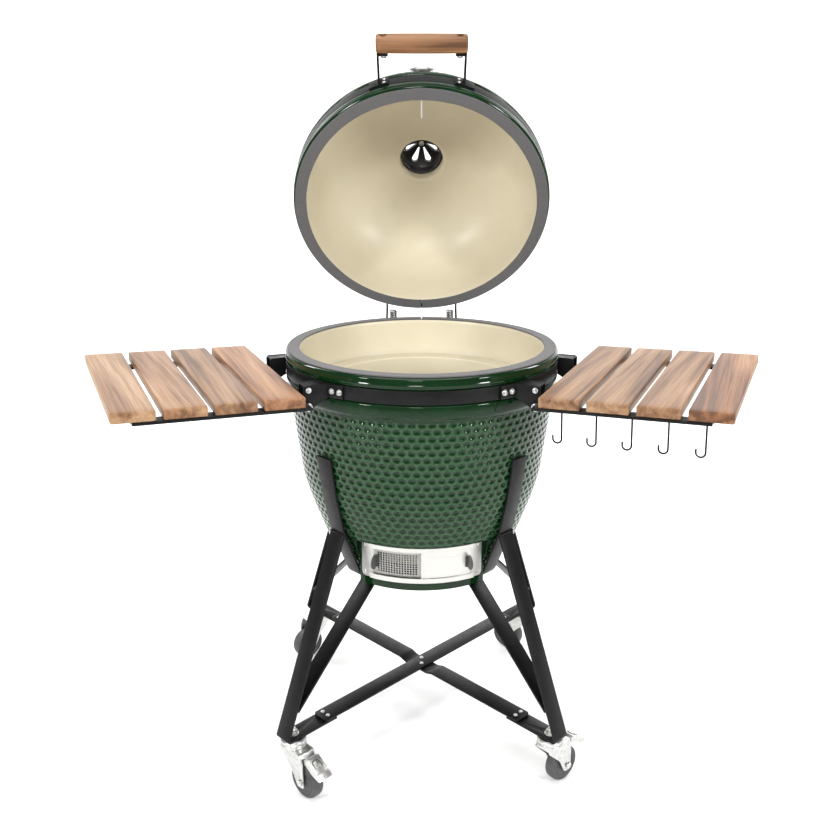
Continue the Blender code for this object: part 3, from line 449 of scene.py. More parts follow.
def prism(outline, d0, d1, matrix=None):
    bm = bmesh.new()
    lo = [bm.verts.new((x, y, d0)) for x, y in outline]
    hi = [bm.verts.new((x, y, d1)) for x, y in outline]
    bm.faces.new(lo[::-1])
    bm.faces.new(hi)
    n = len(outline)
    for i in range(n):
        bm.faces.new((lo[i], lo[(i + 1) % n], hi[(i + 1) % n], hi[i]))
    bmesh.ops.recalc_face_normals(bm, faces=bm.faces)
    if matrix is not None:
        place(bm, matrix)
    return bm


def block(x0, x1, y0, y1, z0, z1, matrix=None):
    return prism([(x0, y0), (x1, y0), (x1, y1), (x0, y1)], z0, z1, matrix)


def round_block(x0, x1, y0, y1, z0, z1, r, n=4, matrix=None):
    pts = []
    for cx, cy, a in ((x1 - r, y1 - r, 0), (x0 + r, y1 - r, 90), (x0 + r, y0 + r, 180), (x1 - r, y0 + r, 270)):
        for i in range(n + 1):
            t = math.radians(a + 90.0 * i / n)
            pts.append((cx + r * math.cos(t), cy + r * math.sin(t)))
    return prism(pts, z0, z1, matrix)


def ngon(r, z0, z1, seg=16, matrix=None, phase=0.0):
    pts = [(r * math.cos(phase + math.tau * i / seg), r * math.sin(phase + math.tau * i / seg)) for i in range(seg)]
    return prism(pts, z0, z1, matrix)


def strip(path, t):
    left, right = [], []
    n = len(path)
    for i, p in enumerate(path):
        p = Vector(p)
        a = (p - Vector(path[i - 1])).normalized() if i else None
        b = (Vector(path[i + 1]) - p).normalized() if i < n - 1 else None
        d = ((a or b) + (b or a)).normalized()
        nrm = Vector((-d.y, d.x))
        ref = a or b
        k = (t / 2) / max(0.3, nrm.dot(Vector((-ref.y, ref.x))))
        left.append(p + nrm * k)
        right.append(p - nrm * k)
    return [(v.x, v.y) for v in left + right[::-1]]


def arc_pts(r, a0, a1, n, cx=0.0, cy=0.0):
    return [(cx + r * math.cos(math.radians(a0 + (a1 - a0) * i / n)),
             cy + r * math.sin(math.radians(a0 + (a1 - a0) * i / n))) for i in range(n + 1)]


def tube(path, r, seg=12, closed=False):
    """A round wire along a list of points."""
    bm = bmesh.new()
    P = [Vector(p) for p in path]
    n = len(P)
    up = None
    rings = []
    for i, p in enumerate(P):
        if closed:
            d = (P[(i + 1) % n] - P[i - 1]).normalized()
        else:
            d = (P[min(i + 1, n - 1)] - P[max(i - 1, 0)]).normalized()
        if up is None:
            up = d.orthogonal().normalized()
        up = (up - d * up.dot(d)).normalized()
        side = d.cross(up)
        rings.append([bm.verts.new(p + up * (r * math.cos(math.tau * k / seg)) + side * (r * math.sin(math.tau * k / seg)))
                      for k in range(seg)])
    pairs = list(zip(rings, rings[1:])) + ([(rings[-1], rings[0])] if closed else [])
    for a, b in pairs:
        for k in range(seg):
            bm.faces.new((a[k], a[(k + 1) % seg], b[(k + 1) % seg], b[k]))
    if not closed:
        for ring, p, s in ((rings[0], P[0], -1), (rings[-1], P[-1], 1)):
            d = (P[1] - P[0]).normalized() if s < 0 else (P[-1] - P[-2]).normalized()
            tip = bm.verts.new(p + d * (s * r * 0.55))
            for k in range(seg):
                bm.faces.new((ring[k], ring[(k + 1) % seg], tip))
    bmesh.ops.recalc_face_normals(bm, faces=bm.faces)
    return bm


def combine(bm, steps):
    """(operation, bmesh) steps with exact booleans."""
    def solid(b, name):
        me = bpy.data.meshes.new(name)
        bmesh.ops.recalc_face_normals(b, faces=b.faces)
        b.to_mesh(me)
        b.free()
        ob = bpy.data.objects.new(name, me)
        SCENE.objects.link(ob)
        return ob
    base = solid(bm, "work")
    tools = []
    for op, b in steps:
        t = solid(b, "tool")
        tools.append(t)
        mod = base.modifiers.new("cut", 'BOOLEAN')
        mod.operation = op
        mod.solver = 'EXACT'
        mod.object = t
    bpy.context.view_layer.update()
    me = bpy.data.meshes.new_from_object(base.evaluated_get(bpy.context.evaluated_depsgraph_get()))
    out = bmesh.new()
    out.from_mesh(me)
    bpy.data.meshes.remove(me)
    for o in tools + [base]:
        mesh = o.data
        bpy.data.objects.remove(o, do_unlink=True)
        bpy.data.meshes.remove(mesh)
    bmesh.ops.remove_doubles(out, verts=out.verts, dist=2e-6)
    bmesh.ops.dissolve_degenerate(out, edges=out.edges, dist=1e-6)
    return out


def rivet(r, h, matrix, seg=18):
    """A low domed head on the plane z = 0 of matrix, standing along +z."""
    prof = [(0, -0.0008), (r * 0.92, -0.0008), (r, 0.0), (r, h * 0.25), (r * 0.93, h * 0.55), (r * 0.74, h * 0.84), (r * 0.42, h * 0.97), (0, h)]
    return place(spin(prof, seg), matrix)


def hex_bolt(r, h, matrix, washer=True):
    """A hexagon head with a chamfer, a washer and a dished crown, along +z."""
    parts = []
    z = 0.0
    if washer:
        parts.append(spin(rounded([(0, -0.0006), (r * 1.28, -0.0006), (r * 1.28, 0.0012), (0, 0.0012)], 0.0003, 1), 24))
        z = 0.0012
    head = soft(ngon(r, z, z + h, 6), h * 0.13, 2)
    parts.append(head)
    parts.append(spin([(0, z + h - 0.0004), (r * 0.62, z + h - 0.0004), (r * 0.52, z + h + 0.0010), (0, z + h + 0.0012)], 18))
    return place(join(*parts), matrix)


def face_out(az, r, z, ytwist=0.0):
    """Matrix whose +z points outward from the grill's axis at azimuth az."""
    a = math.radians(az)
    er = Vector((math.cos(a), math.sin(a), 0))
    et = Vector((-math.sin(a), math.cos(a), 0))
    return axes(Vector((0, BY, 0)) + er * r + Vector((0, 0, z)), et, Vector((0, 0, 1)), er)


def up_at(x, y, z):
    return Matrix.Translation((x, y, z))


# ------------------------------------------------------- ceramic shells
PITCH_V, PITCH_H, PIT = 0.0145, 0.0188, 0.0027
COLS = 756


def resample(poly, step):
    """Points along a polyline at about the given step, corners kept."""
    out = [tuple(poly[0])]
    for a, b in zip(poly, poly[1:]):
        a, b = np.array(a, float), np.array(b, float)
        n = max(1, int(round(np.linalg.norm(b - a) / step)))
        for i in range(1, n + 1):
            out.append(tuple(a + (b - a) * i / n))
    return out


def smooth_curve(pts, step):
    """A Catmull-Rom curve through (r, z) points, resampled."""
    P = [np.array(p, float) for p in pts]
    P = [2 * P[0] - P[1]] + P + [2 * P[-1] - P[-2]]
    dense = []
    for i in range(1, len(P) - 2):
        for k in range(12):
            t = k / 12
            dense.append(0.5 * ((2 * P[i]) + (-P[i - 1] + P[i + 1]) * t + (2 * P[i - 1] - 5 * P[i] + 4 * P[i + 1] - P[i + 2]) * t * t
                                + (-P[i - 1] + 3 * P[i] - 3 * P[i + 1] + P[i + 2]) * t ** 3))
    dense.append(P[-2])
    D = np.array(dense)
    s = np.concatenate([[0], np.cumsum(np.linalg.norm(np.diff(D, axis=0), axis=1))])
    n = int(round(s[-1] / step))
    q = np.linspace(0, s[-1], n + 1)
    return [(float(np.interp(x, s, D[:, 0])), float(np.interp(x, s, D[:, 1]))) for x in q]


def pit_field(r, s, theta, s0, s1, guard=None):
    """How far each point of the grid lies below the ridges, 1 at a pit's centre, and the ridge mask."""
    R, TH = r[:, None], theta[None, :]
    S = s[:, None]
    best = None
    cands = []
    rows = np.arange(0, int((s1 - s0) / PITCH_V) + 1)
    centre_s = s0 + PITCH_V * (rows + 0.5)
    row_r = np.interp(centre_s, s, r)
    counts = np.maximum(6, np.round(math.tau * row_r / PITCH_H)).astype(int)
    j0 = np.clip(np.round((s - s0) / PITCH_V - 0.5).astype(int), 0, len(rows) - 1)
    for dj in (-1, 0, 1):
        j = np.clip(j0 + dj, 0, len(rows) - 1)
        n = counts[j][:, None].astype(float)
        ph = (j % 2)[:, None] * 0.5
        u = (TH + math.pi / 2) * n / math.tau - ph
        fr = u - np.round(u)
        dy = (s - centre_s[j])[:, None]
        for side in (0, 1):
            f = fr if side == 0 else fr - np.where(fr >= 0, 1.0, -1.0)
            dx = f * math.tau / n * R
            cands.append((dx / 0.0086) ** 2 + (dy / 0.0066) ** 2)
    q = np.stack(cands)
    k = 9.0
    soft_min = -np.log(np.exp(-k * np.minimum(q, 6.0)).sum(axis=0)) / k
    g = np.clip(soft_min, 0.0, 1.0)
    depth = (1.0 - g) * (1.0 - g) * (1.0 + 0.6 * g)
    fade = np.clip(np.minimum(S - s0, s1 - S) / 0.006, 0, 1)
    fade = fade * fade * (3 - 2 * fade) + 0 * TH
    if guard is not None:
        fade = fade * guard
    return depth * fade, np.clip(soft_min, 0, 1) * fade


def shell(name, body, outer_plain, pitted, tail, inner, closed_pole, matrix, recess=None, cut=None):
    """A closed ceramic lathe: plain outline, pitted wall, tail and cream inside."""
    pr = np.array(outer_plain + pitted[1:] + tail, float)
    n_plain, n_pit = len(outer_plain), len(pitted) - 1
    P = np.vstack([pr, np.array(inner, float)])
    theta = np.arange(COLS) * math.tau / COLS - math.pi / 2
    R = np.repeat(P[:, 0][:, None], COLS, axis=1)
    Z = np.repeat(P[:, 1][:, None], COLS, axis=1)
    ridge = np.zeros_like(R)
    a, b = n_plain - 1, n_plain + n_pit
    seg = P[a:b]
    d = np.linalg.norm(np.diff(seg, axis=0), axis=1)
    s = np.concatenate([[0], np.cumsum(d)])
    tan = np.gradient(seg, axis=0)
    tan /= np.linalg.norm(tan, axis=1)[:, None]
    nrm = np.stack([tan[:, 1], -tan[:, 0]], axis=1)
    if nrm[0, 0] < 0:
        nrm = -nrm
    guard = recess["guard"](seg[:, 1][:, None], theta[None, :]) if recess else None
    pit, rid = pit_field(seg[:, 0], s, theta, 0.0015, s[-1] - 0.001, guard)
    R[a:b] -= nrm[:, 0][:, None] * pit * PIT
    Z[a:b] -= nrm[:, 1][:, None] * pit * PIT
    ridge[a:b] = rid
    no = len(pr)
    if recess:
        zz = Z[:no]
        t = np.degrees(np.abs((theta + math.pi / 2 + math.pi) % math.tau - math.pi))[None, :] + 0 * zz
        inside = (t <= 38.6) & (P[:no, 1][:, None] <= recess["top"]) & (P[:no, 1][:, None] >= recess["bottom"])
        R[:no][inside] = recess["r"]
        Z[:no][inside] = np.repeat(P[:no, 1][:, None], COLS, axis=1)[inside]
        ridge[:no][inside] = 0.0
    X, Y = R * np.cos(theta)[None, :], R * np.sin(theta)[None, :]
    co = np.stack([X, Y, Z], axis=2).reshape(-1, 3)
    rows = len(P)
    idx = np.arange(rows * COLS).reshape(rows, COLS)
    faces, mats = [], []
    zc = P[:, 1]
    for j in range(rows):
        if closed_pole and j == no - 1:
            continue
        A, B = idx[j], idx[(j + 1) % rows]
        quad = np.stack([A, np.roll(A, -1), np.roll(B, -1), B], axis=1)
        inside_part = j >= no - 1
        if cut is not None:
            mid_z = (zc[j] + zc[(j + 1) % rows]) / 2
            if cut[0] < mid_z < cut[1]:
                tm = np.degrees(np.abs((theta + math.pi / COLS + math.pi / 2 + math.pi) % math.tau - math.pi))
                quad = quad[tm > 27.0]
        faces.append(quad)
        mats.append(np.full(len(quad), 1 if inside_part else 0))
    F = np.concatenate(faces)
    M = np.concatenate(mats)
    keep_poles = []
    if closed_pole:
        last, first = idx[no - 1], idx[no]
        c0, c1 = len(co), len(co) + 1
        co = np.vstack([co, [0, 0, P[no - 1, 1]], [0, 0, P[no, 1]]])
        keep_poles = [(int(last[i]), int(last[(i + 1) % COLS]), c0, 0) for i in range(COLS)] + \
                     [(int(first[(i + 1) % COLS]), int(first[i]), c1, 1) for i in range(COLS)]
    co4 = np.c_[co, np.ones(len(co))] @ np.array(matrix).T
    me = bpy.data.meshes.new(name)
    tris = [p[:3] for p in keep_poles]
    me.from_pydata(co4[:, :3].tolist(), [], F.tolist() + [list(t) for t in tris])
    me.polygons.foreach_set("material_index", np.concatenate([M, np.array([p[3] for p in keep_poles], int)]).astype(np.int32))
    me.update()
    at = me.attributes.new("ridge", 'FLOAT', 'POINT')
    vals = np.zeros(len(co), np.float32)
    vals[:rows * COLS] = ridge.reshape(-1)
    at.data.foreach_set("value", vals)
    bm = bmesh.new()
    bm.from_mesh(me)
    bmesh.ops.recalc_face_normals(bm, faces=bm.faces)
    loose = [v for v in bm.verts if not v.link_faces]
    bmesh.ops.delete(bm, geom=loose, context='VERTS')
    bm.to_mesh(me)
    bm.free()
    return settle(me, name, [GLAZE, CREAM], body, name, 48.0)


# the bowl: moulded rim, a groove for the band, a smooth belt, a ledge, then pits
lip = rounded([(0.2620, -0.0032), (0.2755, -0.0032), (0.2790, -0.0065), (0.2790, -0.0150), (0.2800, -0.0172), (0.2790, -0.0194),
               (0.2790, -0.0235), (0.2745, -0.0255), (0.2745, -0.0540), (0.2790, -0.0560), (0.2788, -0.0755), (0.2778, -0.0795), (0.2738, -0.0832)],
              0.0016, 3, closed=False)
wall = smooth_curve([(0.2738, -0.0832), (0.2720, -0.1000), (0.2670, -0.1450), (0.2575, -0.2200), (0.2500, -0.2700), (0.2360, -0.3190),
                     (0.2210, -0.3610), (0.2050, -0.4030), (0.1870, -0.4380), (0.1650, -0.4620)], 0.00175)
tail = [(0.1640, -0.4626), (0.1560, -0.4664), (0.1450, -0.4700), (0.1380, -0.4700), (0.0700, -0.4700)]
bowl_in = [(0.0700, -0.4450)] + smooth_curve([(0.1450, -0.4450), (0.1700, -0.4240), (0.1900, -0.3850), (0.2100, -0.3300), (0.2240, -0.2700),
                                              (0.2370, -0.1400), (0.2410, -0.0950), (0.2475, -0.0600), (0.2498, -0.0100)], 0.012) + \
          [(0.2500, -0.0050), (0.2512, -0.0032)]


def bowl_guard(z, th):
    t = np.degrees(np.abs((th + math.pi / 2 + math.pi) % math.tau - math.pi))
    out = np.maximum((t - 39.5) / 1.5, (z - (-0.3600)) / 0.004)
    out = np.maximum(out, (-0.4705 - z) / 0.004)
    return np.clip(out, 0, 1)


shell("base_shell", "grill", lip, wall, tail, bowl_in, True, RIM,
      recess={"guard": bowl_guard, "top": -0.3625, "bottom": -0.4640, "r": 0.2012}, cut=(-0.4270, -0.3830))
liner = join(soft(sector(0.1560, 0.2010, -0.3830, -0.3790, -90.0, 27.6, 24), 0.0006),
             soft(sector(0.1560, 0.2010, -0.4310, -0.4270, -90.0, 27.6, 24), 0.0006),
             soft(sector(0.1560, 0.2010, -0.4310, -0.3790, -90.0 - 27.9, 0.9, 2), 0.0006),
             soft(sector(0.1560, 0.2010, -0.4310, -0.3790, -90.0 + 27.9, 0.9, 2), 0.0006))
emit(liner, "draft_opening_liner", IRON, "grill", None, matrix=RIM)

lid_lip = rounded([(0.2620, 0.0042), (0.2755, 0.0042), (0.2790, 0.0075), (0.2790, 0.0160), (0.2800, 0.0182), (0.2790, 0.0204),
                   (0.2790, 0.0250), (0.2745, 0.0270), (0.2745, 0.0555), (0.2790, 0.0575), (0.2786, 0.0660), (0.2776, 0.0698), (0.2736, 0.0732)],
                  0.0016, 3, closed=False)
dome = smooth_curve([(0.2736, 0.0732), (0.2715, 0.0800), (0.2600, 0.1110), (0.2465, 0.1400), (0.2300, 0.1660), (0.2040, 0.1915),
                     (0.1660, 0.2130), (0.1190, 0.2280), (0.0780, 0.2348), (0.0660, 0.2359)], 0.00175)
dome_tail = [(0.0630, 0.2362), (0.0540, 0.2368), (0.0515, 0.2370), (0.0500, 0.2355)]
lid_in = [(0.0498, 0.2300), (0.0498, 0.2105), (0.0520, 0.2078), (0.0600, 0.2070)] + \
    smooth_curve([(0.0660, 0.2066), (0.1000, 0.2030), (0.1500, 0.1890), (0.1950, 0.1620), (0.2260, 0.1260),
                  (0.2420, 0.0850), (0.2480, 0.0450), (0.2498, 0.0100)], 0.010) + [(0.2500, 0.0060), (0.2512, 0.0042)]
shell("lid_shell", "lid", lid_lip, dome, dome_tail, lid_in, False, LIDM @ RIM)


# felt gaskets, with a small gap where the ends of the strip meet at the rear
def gasket(name, z0, body, matrix, seed):
    rng = np.random.default_rng(seed)
    seg = 420
    prof = rounded([(0.2503, z0 + 0.0001), (0.2747, z0 + 0.0001), (0.2747, z0 + 0.0028), (0.2503, z0 + 0.0028)], 0.0011, 3)
    prof = resample(prof + [prof[0]], 0.003)[:-1]
    gap = 0.28
    bm = spin(prof, seg, 90.0 + gap, 360.0 - 2 * gap)
    amp = rng.normal(0, 1, (seg + 1,))
    amp = np.convolve(np.r_[amp[-6:], amp, amp[:6]], np.ones(9) / 9, 'same')[6:-6]
    for v in bm.verts:
        a = (math.degrees(math.atan2(v.co.y, v.co.x)) - 90.0 - gap) % 360.0
        i = int(a / (360.0 - 2 * gap) * seg) % (seg + 1)
        r = math.hypot(v.co.x, v.co.y)
        k = 1 + 0.0005 * amp[i] / r * (1 if r > 0.262 else -1)
        v.co.x *= k
        v.co.y *= k
        v.co.z += 0.00012 * amp[(i * 7) % (seg + 1)] * (1 if v.co.z > z0 + 0.0014 else 0)
    emit(bm, name, FELT, body, name, 50.0, matrix)


gasket("base_gasket", -0.0029, "grill", RIM, 3)
gasket("lid_gasket", 0.0010, "lid", LIDM @ RIM, 5)


# steel bands with eased edges
def band(name, z, body, matrix):
    prof = rounded([(0.2751, z[0]), (0.2784, z[0]), (0.2784, z[1]), (0.2751, z[1])], 0.0009, 3)
    bm = spin(prof, 300)
    emit(bm, name, BLACK, body, name, 40.0, matrix)


band("base_band", BASE_BAND, "grill", RIM)
band("lid_band", LID_BAND, "lid", LIDM @ RIM)

# ------------------------------------------------------------ inside the bowl
ring = rounded([(0.1950, -0.0790), (0.1970, -0.0772), (0.2330, -0.0772), (0.2349, -0.0790), (0.2289, -0.1638), (0.1952, -0.1638)], 0.003, 4)
emit(spin(ring, 180), "fire_ring", CREAM, "grill", "fire_ring", 40.0, RIM)
fb = [(0.2289, -0.1647), (0.2130, -0.2700), (0.1780, -0.3850), (0.1300, -0.4440), (0.0600, -0.4440),
      (0.0600, -0.4020), (0.1100, -0.4020), (0.1450, -0.3800), (0.1480, -0.3600), (0.1900, -0.2600), (0.1980, -0.1647)]
bm = combine(spin(rounded(fb, 0.004, 3), 96), [('DIFFERENCE', sector(0.080, 0.240, -0.4350, -0.3900, -90.0, 20.0, 16))])
emit(bm, "fire_box", CREAM, "grill", "fire_box", 40.0, RIM)
grate = ngon(0.1358, -0.3790, -0.3712, 96)
cuts = [('DIFFERENCE', round_block(-0.110 + 0.016 * abs(k), 0.110 - 0.016 * abs(k), 0.034 * k - 0.007, 0.034 * k + 0.007, -0.39, -0.36, 0.0069, 6))
        for k in range(-3, 4) if k]
emit(soft(combine(grate, cuts), 0.0012, 2, 40.0), "charcoal_grate", IRON, "grill", "charcoal_grate", 40.0, RIM)

# ---------------------------------------------------------------- draft door
DR, DLO, DHI = 0.2022, -0.4450, -0.3650
f1 = DR + 0.0014
plate = sector(DR, f1, DLO + 0.0005, DHI - 0.0005, -90.0, 36.4, 64)
window = sector(DR - 0.01, f1 + 0.01, DLO + 0.018, DHI - 0.018, -90.0, 26.0, 48)
lower = spin([(f1 - 0.0008, DLO + 0.002), (f1 + 0.0060, DLO + 0.002), (f1 + 0.0060, DLO + 0.012), (f1 + 0.0045, DLO + 0.012),
              (f1 + 0.0045, DLO + 0.0035), (f1 - 0.0008, DLO + 0.0035)], 48, -90.0 - 30.0, 60.0)
upper = spin([(f1 - 0.0008, DHI - 0.0035), (f1 + 0.0045, DHI - 0.0035), (f1 + 0.0045, DHI - 0.012), (f1 + 0.0060, DHI - 0.012),
              (f1 + 0.0060, DHI - 0.002), (f1 - 0.0008, DHI - 0.002)], 48, -90.0 - 30.0, 60.0)
# rounded ears: the plate's corners are cut back to quarter circles
corner = []
for sgn in (-1, 1):
    for zc, up in ((DHI - 0.0005, 1), (DLO + 0.0005, -1)):
        rc = 0.009
        a_end = math.radians(-90.0 + sgn * 36.4)
        a_c = a_end - sgn * rc / f1
        pts = [(0.0, 0.0)] + [(rc * math.sin(t), rc - rc * math.cos(t)) for t in (math.radians(90.0 * i / 6) for i in range(7))]
        er = Vector((math.cos(a_c), math.sin(a_c), 0))
        et = Vector((-math.sin(a_c), math.cos(a_c), 0)) * sgn
        # outline in (along the arc, down from the edge)
        out = [(rc + 0.004, -0.004), (0.0, -0.004)] + [(rc * math.sin(math.radians(90.0 * i / 6)), rc - rc * math.cos(math.radians(90.0 * i / 6))) for i in range(7)] + [(rc + 0.004, rc)]
        M = axes(er * (f1 - 0.012) + Vector((0, 0, zc)), et, Vector((0, 0, -up)), er)
        corner.append(('DIFFERENCE', prism(out, 0.0, 0.03, M)))
bm = combine(plate, [('DIFFERENCE', window)] + corner + [('UNION', lower), ('UNION', upper)])
bm = soft(bm, 0.00025, 1, 40.0)
screws = []
for t in (-34.2, 34.2):
    for z in (DLO + 0.010, DHI - 0.010):
        screws.append((place(rivet(0.0042, 0.0022, I4, 20), Matrix.Translation((0, -BY, 0)) @ face_out(-90.0 + t, f1, z)), 1))
emit(join(bm, *screws), "draft_frame", [STEEL, ZINC], "grill", "draft_frame", 34.0, RIM)


def perforated(r0, r1, mid, half, z0, z1, nx, nz, px, pz, hole):
    """A curved sheet with a regular field of round holes."""
    bm = bmesh.new()
    K = 12
    w = px * nx
    h = pz * nz
    L = math.radians(2 * half) * r1
    zc = (z0 + z1) / 2
    x_off = (L - w) / 2
    cells = {}

    def vert(x, z):
        key = (round(x, 7), round(z, 7))
        if key not in cells:
            cells[key] = bm.verts.new((x, 0, z))
        return cells[key]
    x0, zb = -w / 2, zc - h / 2
    for i in range(nx):
        for k in range(nz):
            cx, cz = x0 + px * (i + 0.5), zb + pz * (k + 0.5)
            inner, outer_v = [], []
            for q in range(K):
                t = math.tau * q / K + math.pi / 4
                c, s = math.cos(t), math.sin(t)
                inner.append(vert(cx + hole * c, cz + hole * s))
                m = max(abs(c), abs(s))
                outer_v.append(vert(cx + px / 2 * c / m, cz + pz / 2 * s / m))
            for q in range(K):
                vs = [inner[q], inner[(q + 1) % K], outer_v[(q + 1) % K], outer_v[q]]
                vs = list(dict.fromkeys(vs))
                if len(vs) > 2:
                    bm.faces.new(vs)
    # plain margins as fine strips
    def sheet(xa, xb, za, zb2):
        n = max(1, int(round((xb - xa) / 0.004)))
        for i in range(n):
            a, b = xa + (xb - xa) * i / n, xa + (xb - xa) * (i + 1) / n
            vs = [vert(a, za), vert(b, za), vert(b, zb2), vert(a, zb2)]
            bm.faces.new(vs)
    sheet(-L / 2, L / 2, z0, zb)
    sheet(-L / 2, L / 2, zb + h, z1)
    sheet(-L / 2, -w / 2, zb, zb + h)
    sheet(w / 2, L / 2, zb, zb + h)
    bmesh.ops.solidify(bm, geom=list(bm.faces), thickness=(r1 - r0))
    ys = [v.co.y for v in bm.verts]
    ylo = min(ys)
    for v in bm.verts:
        a = math.radians(mid) + v.co.x / r1
        r = r0 + (v.co.y - ylo)
        v.co = Vector((r * math.cos(a), r * math.sin(a), v.co.z))
    bmesh.ops.recalc_face_normals(bm, faces=bm.faces)
    return bm


def leaf(r0, at, lean):
    """Upright finger tab, an oval plate with a rolled stem."""
    out = rounded([(0.0, 0.011), (0.006, 0.0155), (0.013, 0.0150), (0.0195, 0.0085), (0.0215, 0.0), (0.0195, -0.0085), (0.013, -0.0150),
                   (0.006, -0.0155), (0.0, -0.011)], 0.004, 3)
    a = math.radians(at)
    er, et = Vector((math.cos(a), math.sin(a), 0)), Vector((-math.sin(a), math.cos(a), 0))
    M = axes(er * (r0 + 0.0004) + Vector((0, 0, (DLO + DHI) / 2)), er, Vector((0, 0, 1)), et)
    body = soft(prism(out, -0.0010, 0.0010, M), 0.0006, 2)
    rib = soft(prism([(0.003, -0.009), (0.0165, -0.0065), (0.0185, 0.0), (0.0165, 0.0065), (0.003, 0.009)], -0.0016, 0.0016, M), 0.0008, 2)
    foot = spin([(r0 + 0.0008, (DLO + DHI) / 2 - 0.012), (r0 + 0.0022, (DLO + DHI) / 2 - 0.012), (r0 + 0.0022, (DLO + DHI) / 2 + 0.012),
                 (r0 + 0.0008, (DLO + DHI) / 2 + 0.012)], 4, at - 1.6, 3.2)
    return join(body, rib, soft(foot, 0.0004, 1))


scr = perforated(f1 + 0.0006, f1 + 0.0016, -104.0, 14.2, DLO + 0.0045, DHI - 0.0045, 15, 9, 0.0056, 0.0049, 0.00200)
emit(join((scr, 0), (leaf(f1 + 0.0006, -116.5, 0), 1)), "draft_screen", [STEEL, TAB], "inlet_screen", "draft_screen", 34.0, RIM)
door = soft(sector(f1 + 0.0024, f1 + 0.0034, DLO + 0.0045, DHI - 0.0045, -76.2, 14.2, 24), 0.0003, 1)
emit(join((door, 0), (leaf(f1 + 0.0024, -63.5, 0), 1)), "draft_door", [STEEL, TAB], "inlet_door", "draft_door", 34.0, RIM)

# --------------------------------------------------------------------- hinge
py, pz = PIVOT.y, PIVOT.z
HX = axes((0, py, pz), (0, 1, 0), (0, 0, 1), (1, 0, 0))      # outline (y, z), extruded along x
BACK = 0.2790 - HINGE_Y
bolts = []
for x in (-0.066, -0.030, 0.030, 0.066):
    M = axes((x, py + BACK + 0.0040, H - 0.0395), (1, 0, 0), (0, 0, -1), (0, 1, 0))
    bolts.append((rivet(0.0048, 0.0026, M), 1))
emit(join(cad("base_hinge_bracket", 0.0006), *bolts), "base_hinge_bracket", [BLACK, ZINC], "grill", "base_hinge_bracket")
bolts = []
for x in (-0.066, -0.030, 0.030, 0.066):
    M = LIDM @ axes((x, py + BACK + 0.0040, H + 0.0410), (1, 0, 0), (0, 0, -1), (0, 1, 0))
    bolts.append((rivet(0.0048, 0.0026, M), 1))
emit(join(cad("lid_hinge_bracket", 0.0006), *bolts), "lid_hinge_bracket", [BLACK, ZINC], "lid", "lid_hinge_bracket")
pin = rounded([(0, -0.0959), (0.0049, -0.0959), (0.0049, 0.0920), (0.0085, 0.0920), (0.0085, 0.0960), (0, 0.0960)], 0.0008, 3)
emit(spin(pin, 32), "hinge_pin", ZINC, "grill", "hinge_pin", matrix=HX)
for side, sx in (("left", -1), ("right", 1)):
    turns, wire, rad, tall = 8.5, 0.0017, 0.0072, 0.0410
    pts = []
    for i in range(int(turns * 28) + 1):
        t = i / (turns * 28)
        a = math.tau * turns * t
        pts.append((rad * math.cos(a), rad * math.sin(a), wire + (tall - 2 * wire) * t))
    emit(tube(pts, wire, 10), "hinge_spring_" + side, TAB, "grill", "hinge_spring_" + side, 60.0,
         Matrix.Translation((sx * 0.0670, py, pz + 0.0054)))

# --------------------------------------------------------------- thermometer
TA = math.radians(22.0)
TH = axes((0, BY - 0.2630, H + 0.1030), (1, 0, 0), (0, math.sin(TA), math.cos(TA)), (0, -math.cos(TA), math.sin(TA)))
body = [(0.0, -0.0930), (0.0012, -0.0926), (0.0022, -0.0905), (0.0022, -0.0020), (0.0045, -0.0010), (0.0045, 0.0012), (0.0235, 0.0014),
        (0.0258, 0.0028), (0.0260, 0.0066), (0.0250, 0.0080), (0.0236, 0.0082), (0.0230, 0.0066), (0.0, 0.0066)]
face = spin([(0, 0.0064), (0.0230, 0.0064), (0.0230, 0.0070), (0, 0.0070)], 64)
marks = []
for i in range(41):
    a = math.radians(225.0 - 270.0 * i / 40)
    big = i % 5 == 0
    r0, r1, w = (0.0180 if big else 0.0196), 0.0215, (0.00050 if big else 0.00026)
    c, s = math.cos(a), math.sin(a)
    marks.append((prism([(r0 * c - w * s, r0 * s + w * c), (r1 * c - w * s, r1 * s + w * c), (r1 * c + w * s, r1 * s - w * c),
                         (r0 * c + w * s, r0 * s - w * c)][::-1], 0.0070, 0.0072), 2))
a = math.radians(205.0)
c, s = math.cos(a), math.sin(a)
needle = prism([(-0.005 * c - 0.0009 * s, -0.005 * s + 0.0009 * c), (0.0165 * c, 0.0165 * s), (-0.005 * c + 0.0009 * s, -0.005 * s - 0.0009 * c)], 0.0074, 0.0077)
hub = spin(rounded([(0, 0.0070), (0.0020, 0.0070), (0.0020, 0.0080), (0, 0.0080)], 0.0004, 2), 20)


def digits(text, size, x, y, z):
    cu = bpy.data.curves.new("digits", 'FONT')
    cu.body = text
    cu.size = size
    cu.align_x, cu.align_y = 'CENTER', 'CENTER'
    cu.extrude = 0.0001
    cu.resolution_u = 3
    ob = bpy.data.objects.new("digits", cu)
    SCENE.objects.link(ob)
    bpy.context.view_layer.update()
    me = bpy.data.meshes.new_from_object(ob.evaluated_get(bpy.context.evaluated_depsgraph_get()))
    b = bmesh.new()
    b.from_mesh(me)
    bpy.data.objects.remove(ob, do_unlink=True)
    bpy.data.curves.remove(cu)
    bpy.data.meshes.remove(me)
    bmesh.ops.translate(b, verts=b.verts, vec=(x, y, z))
    return b


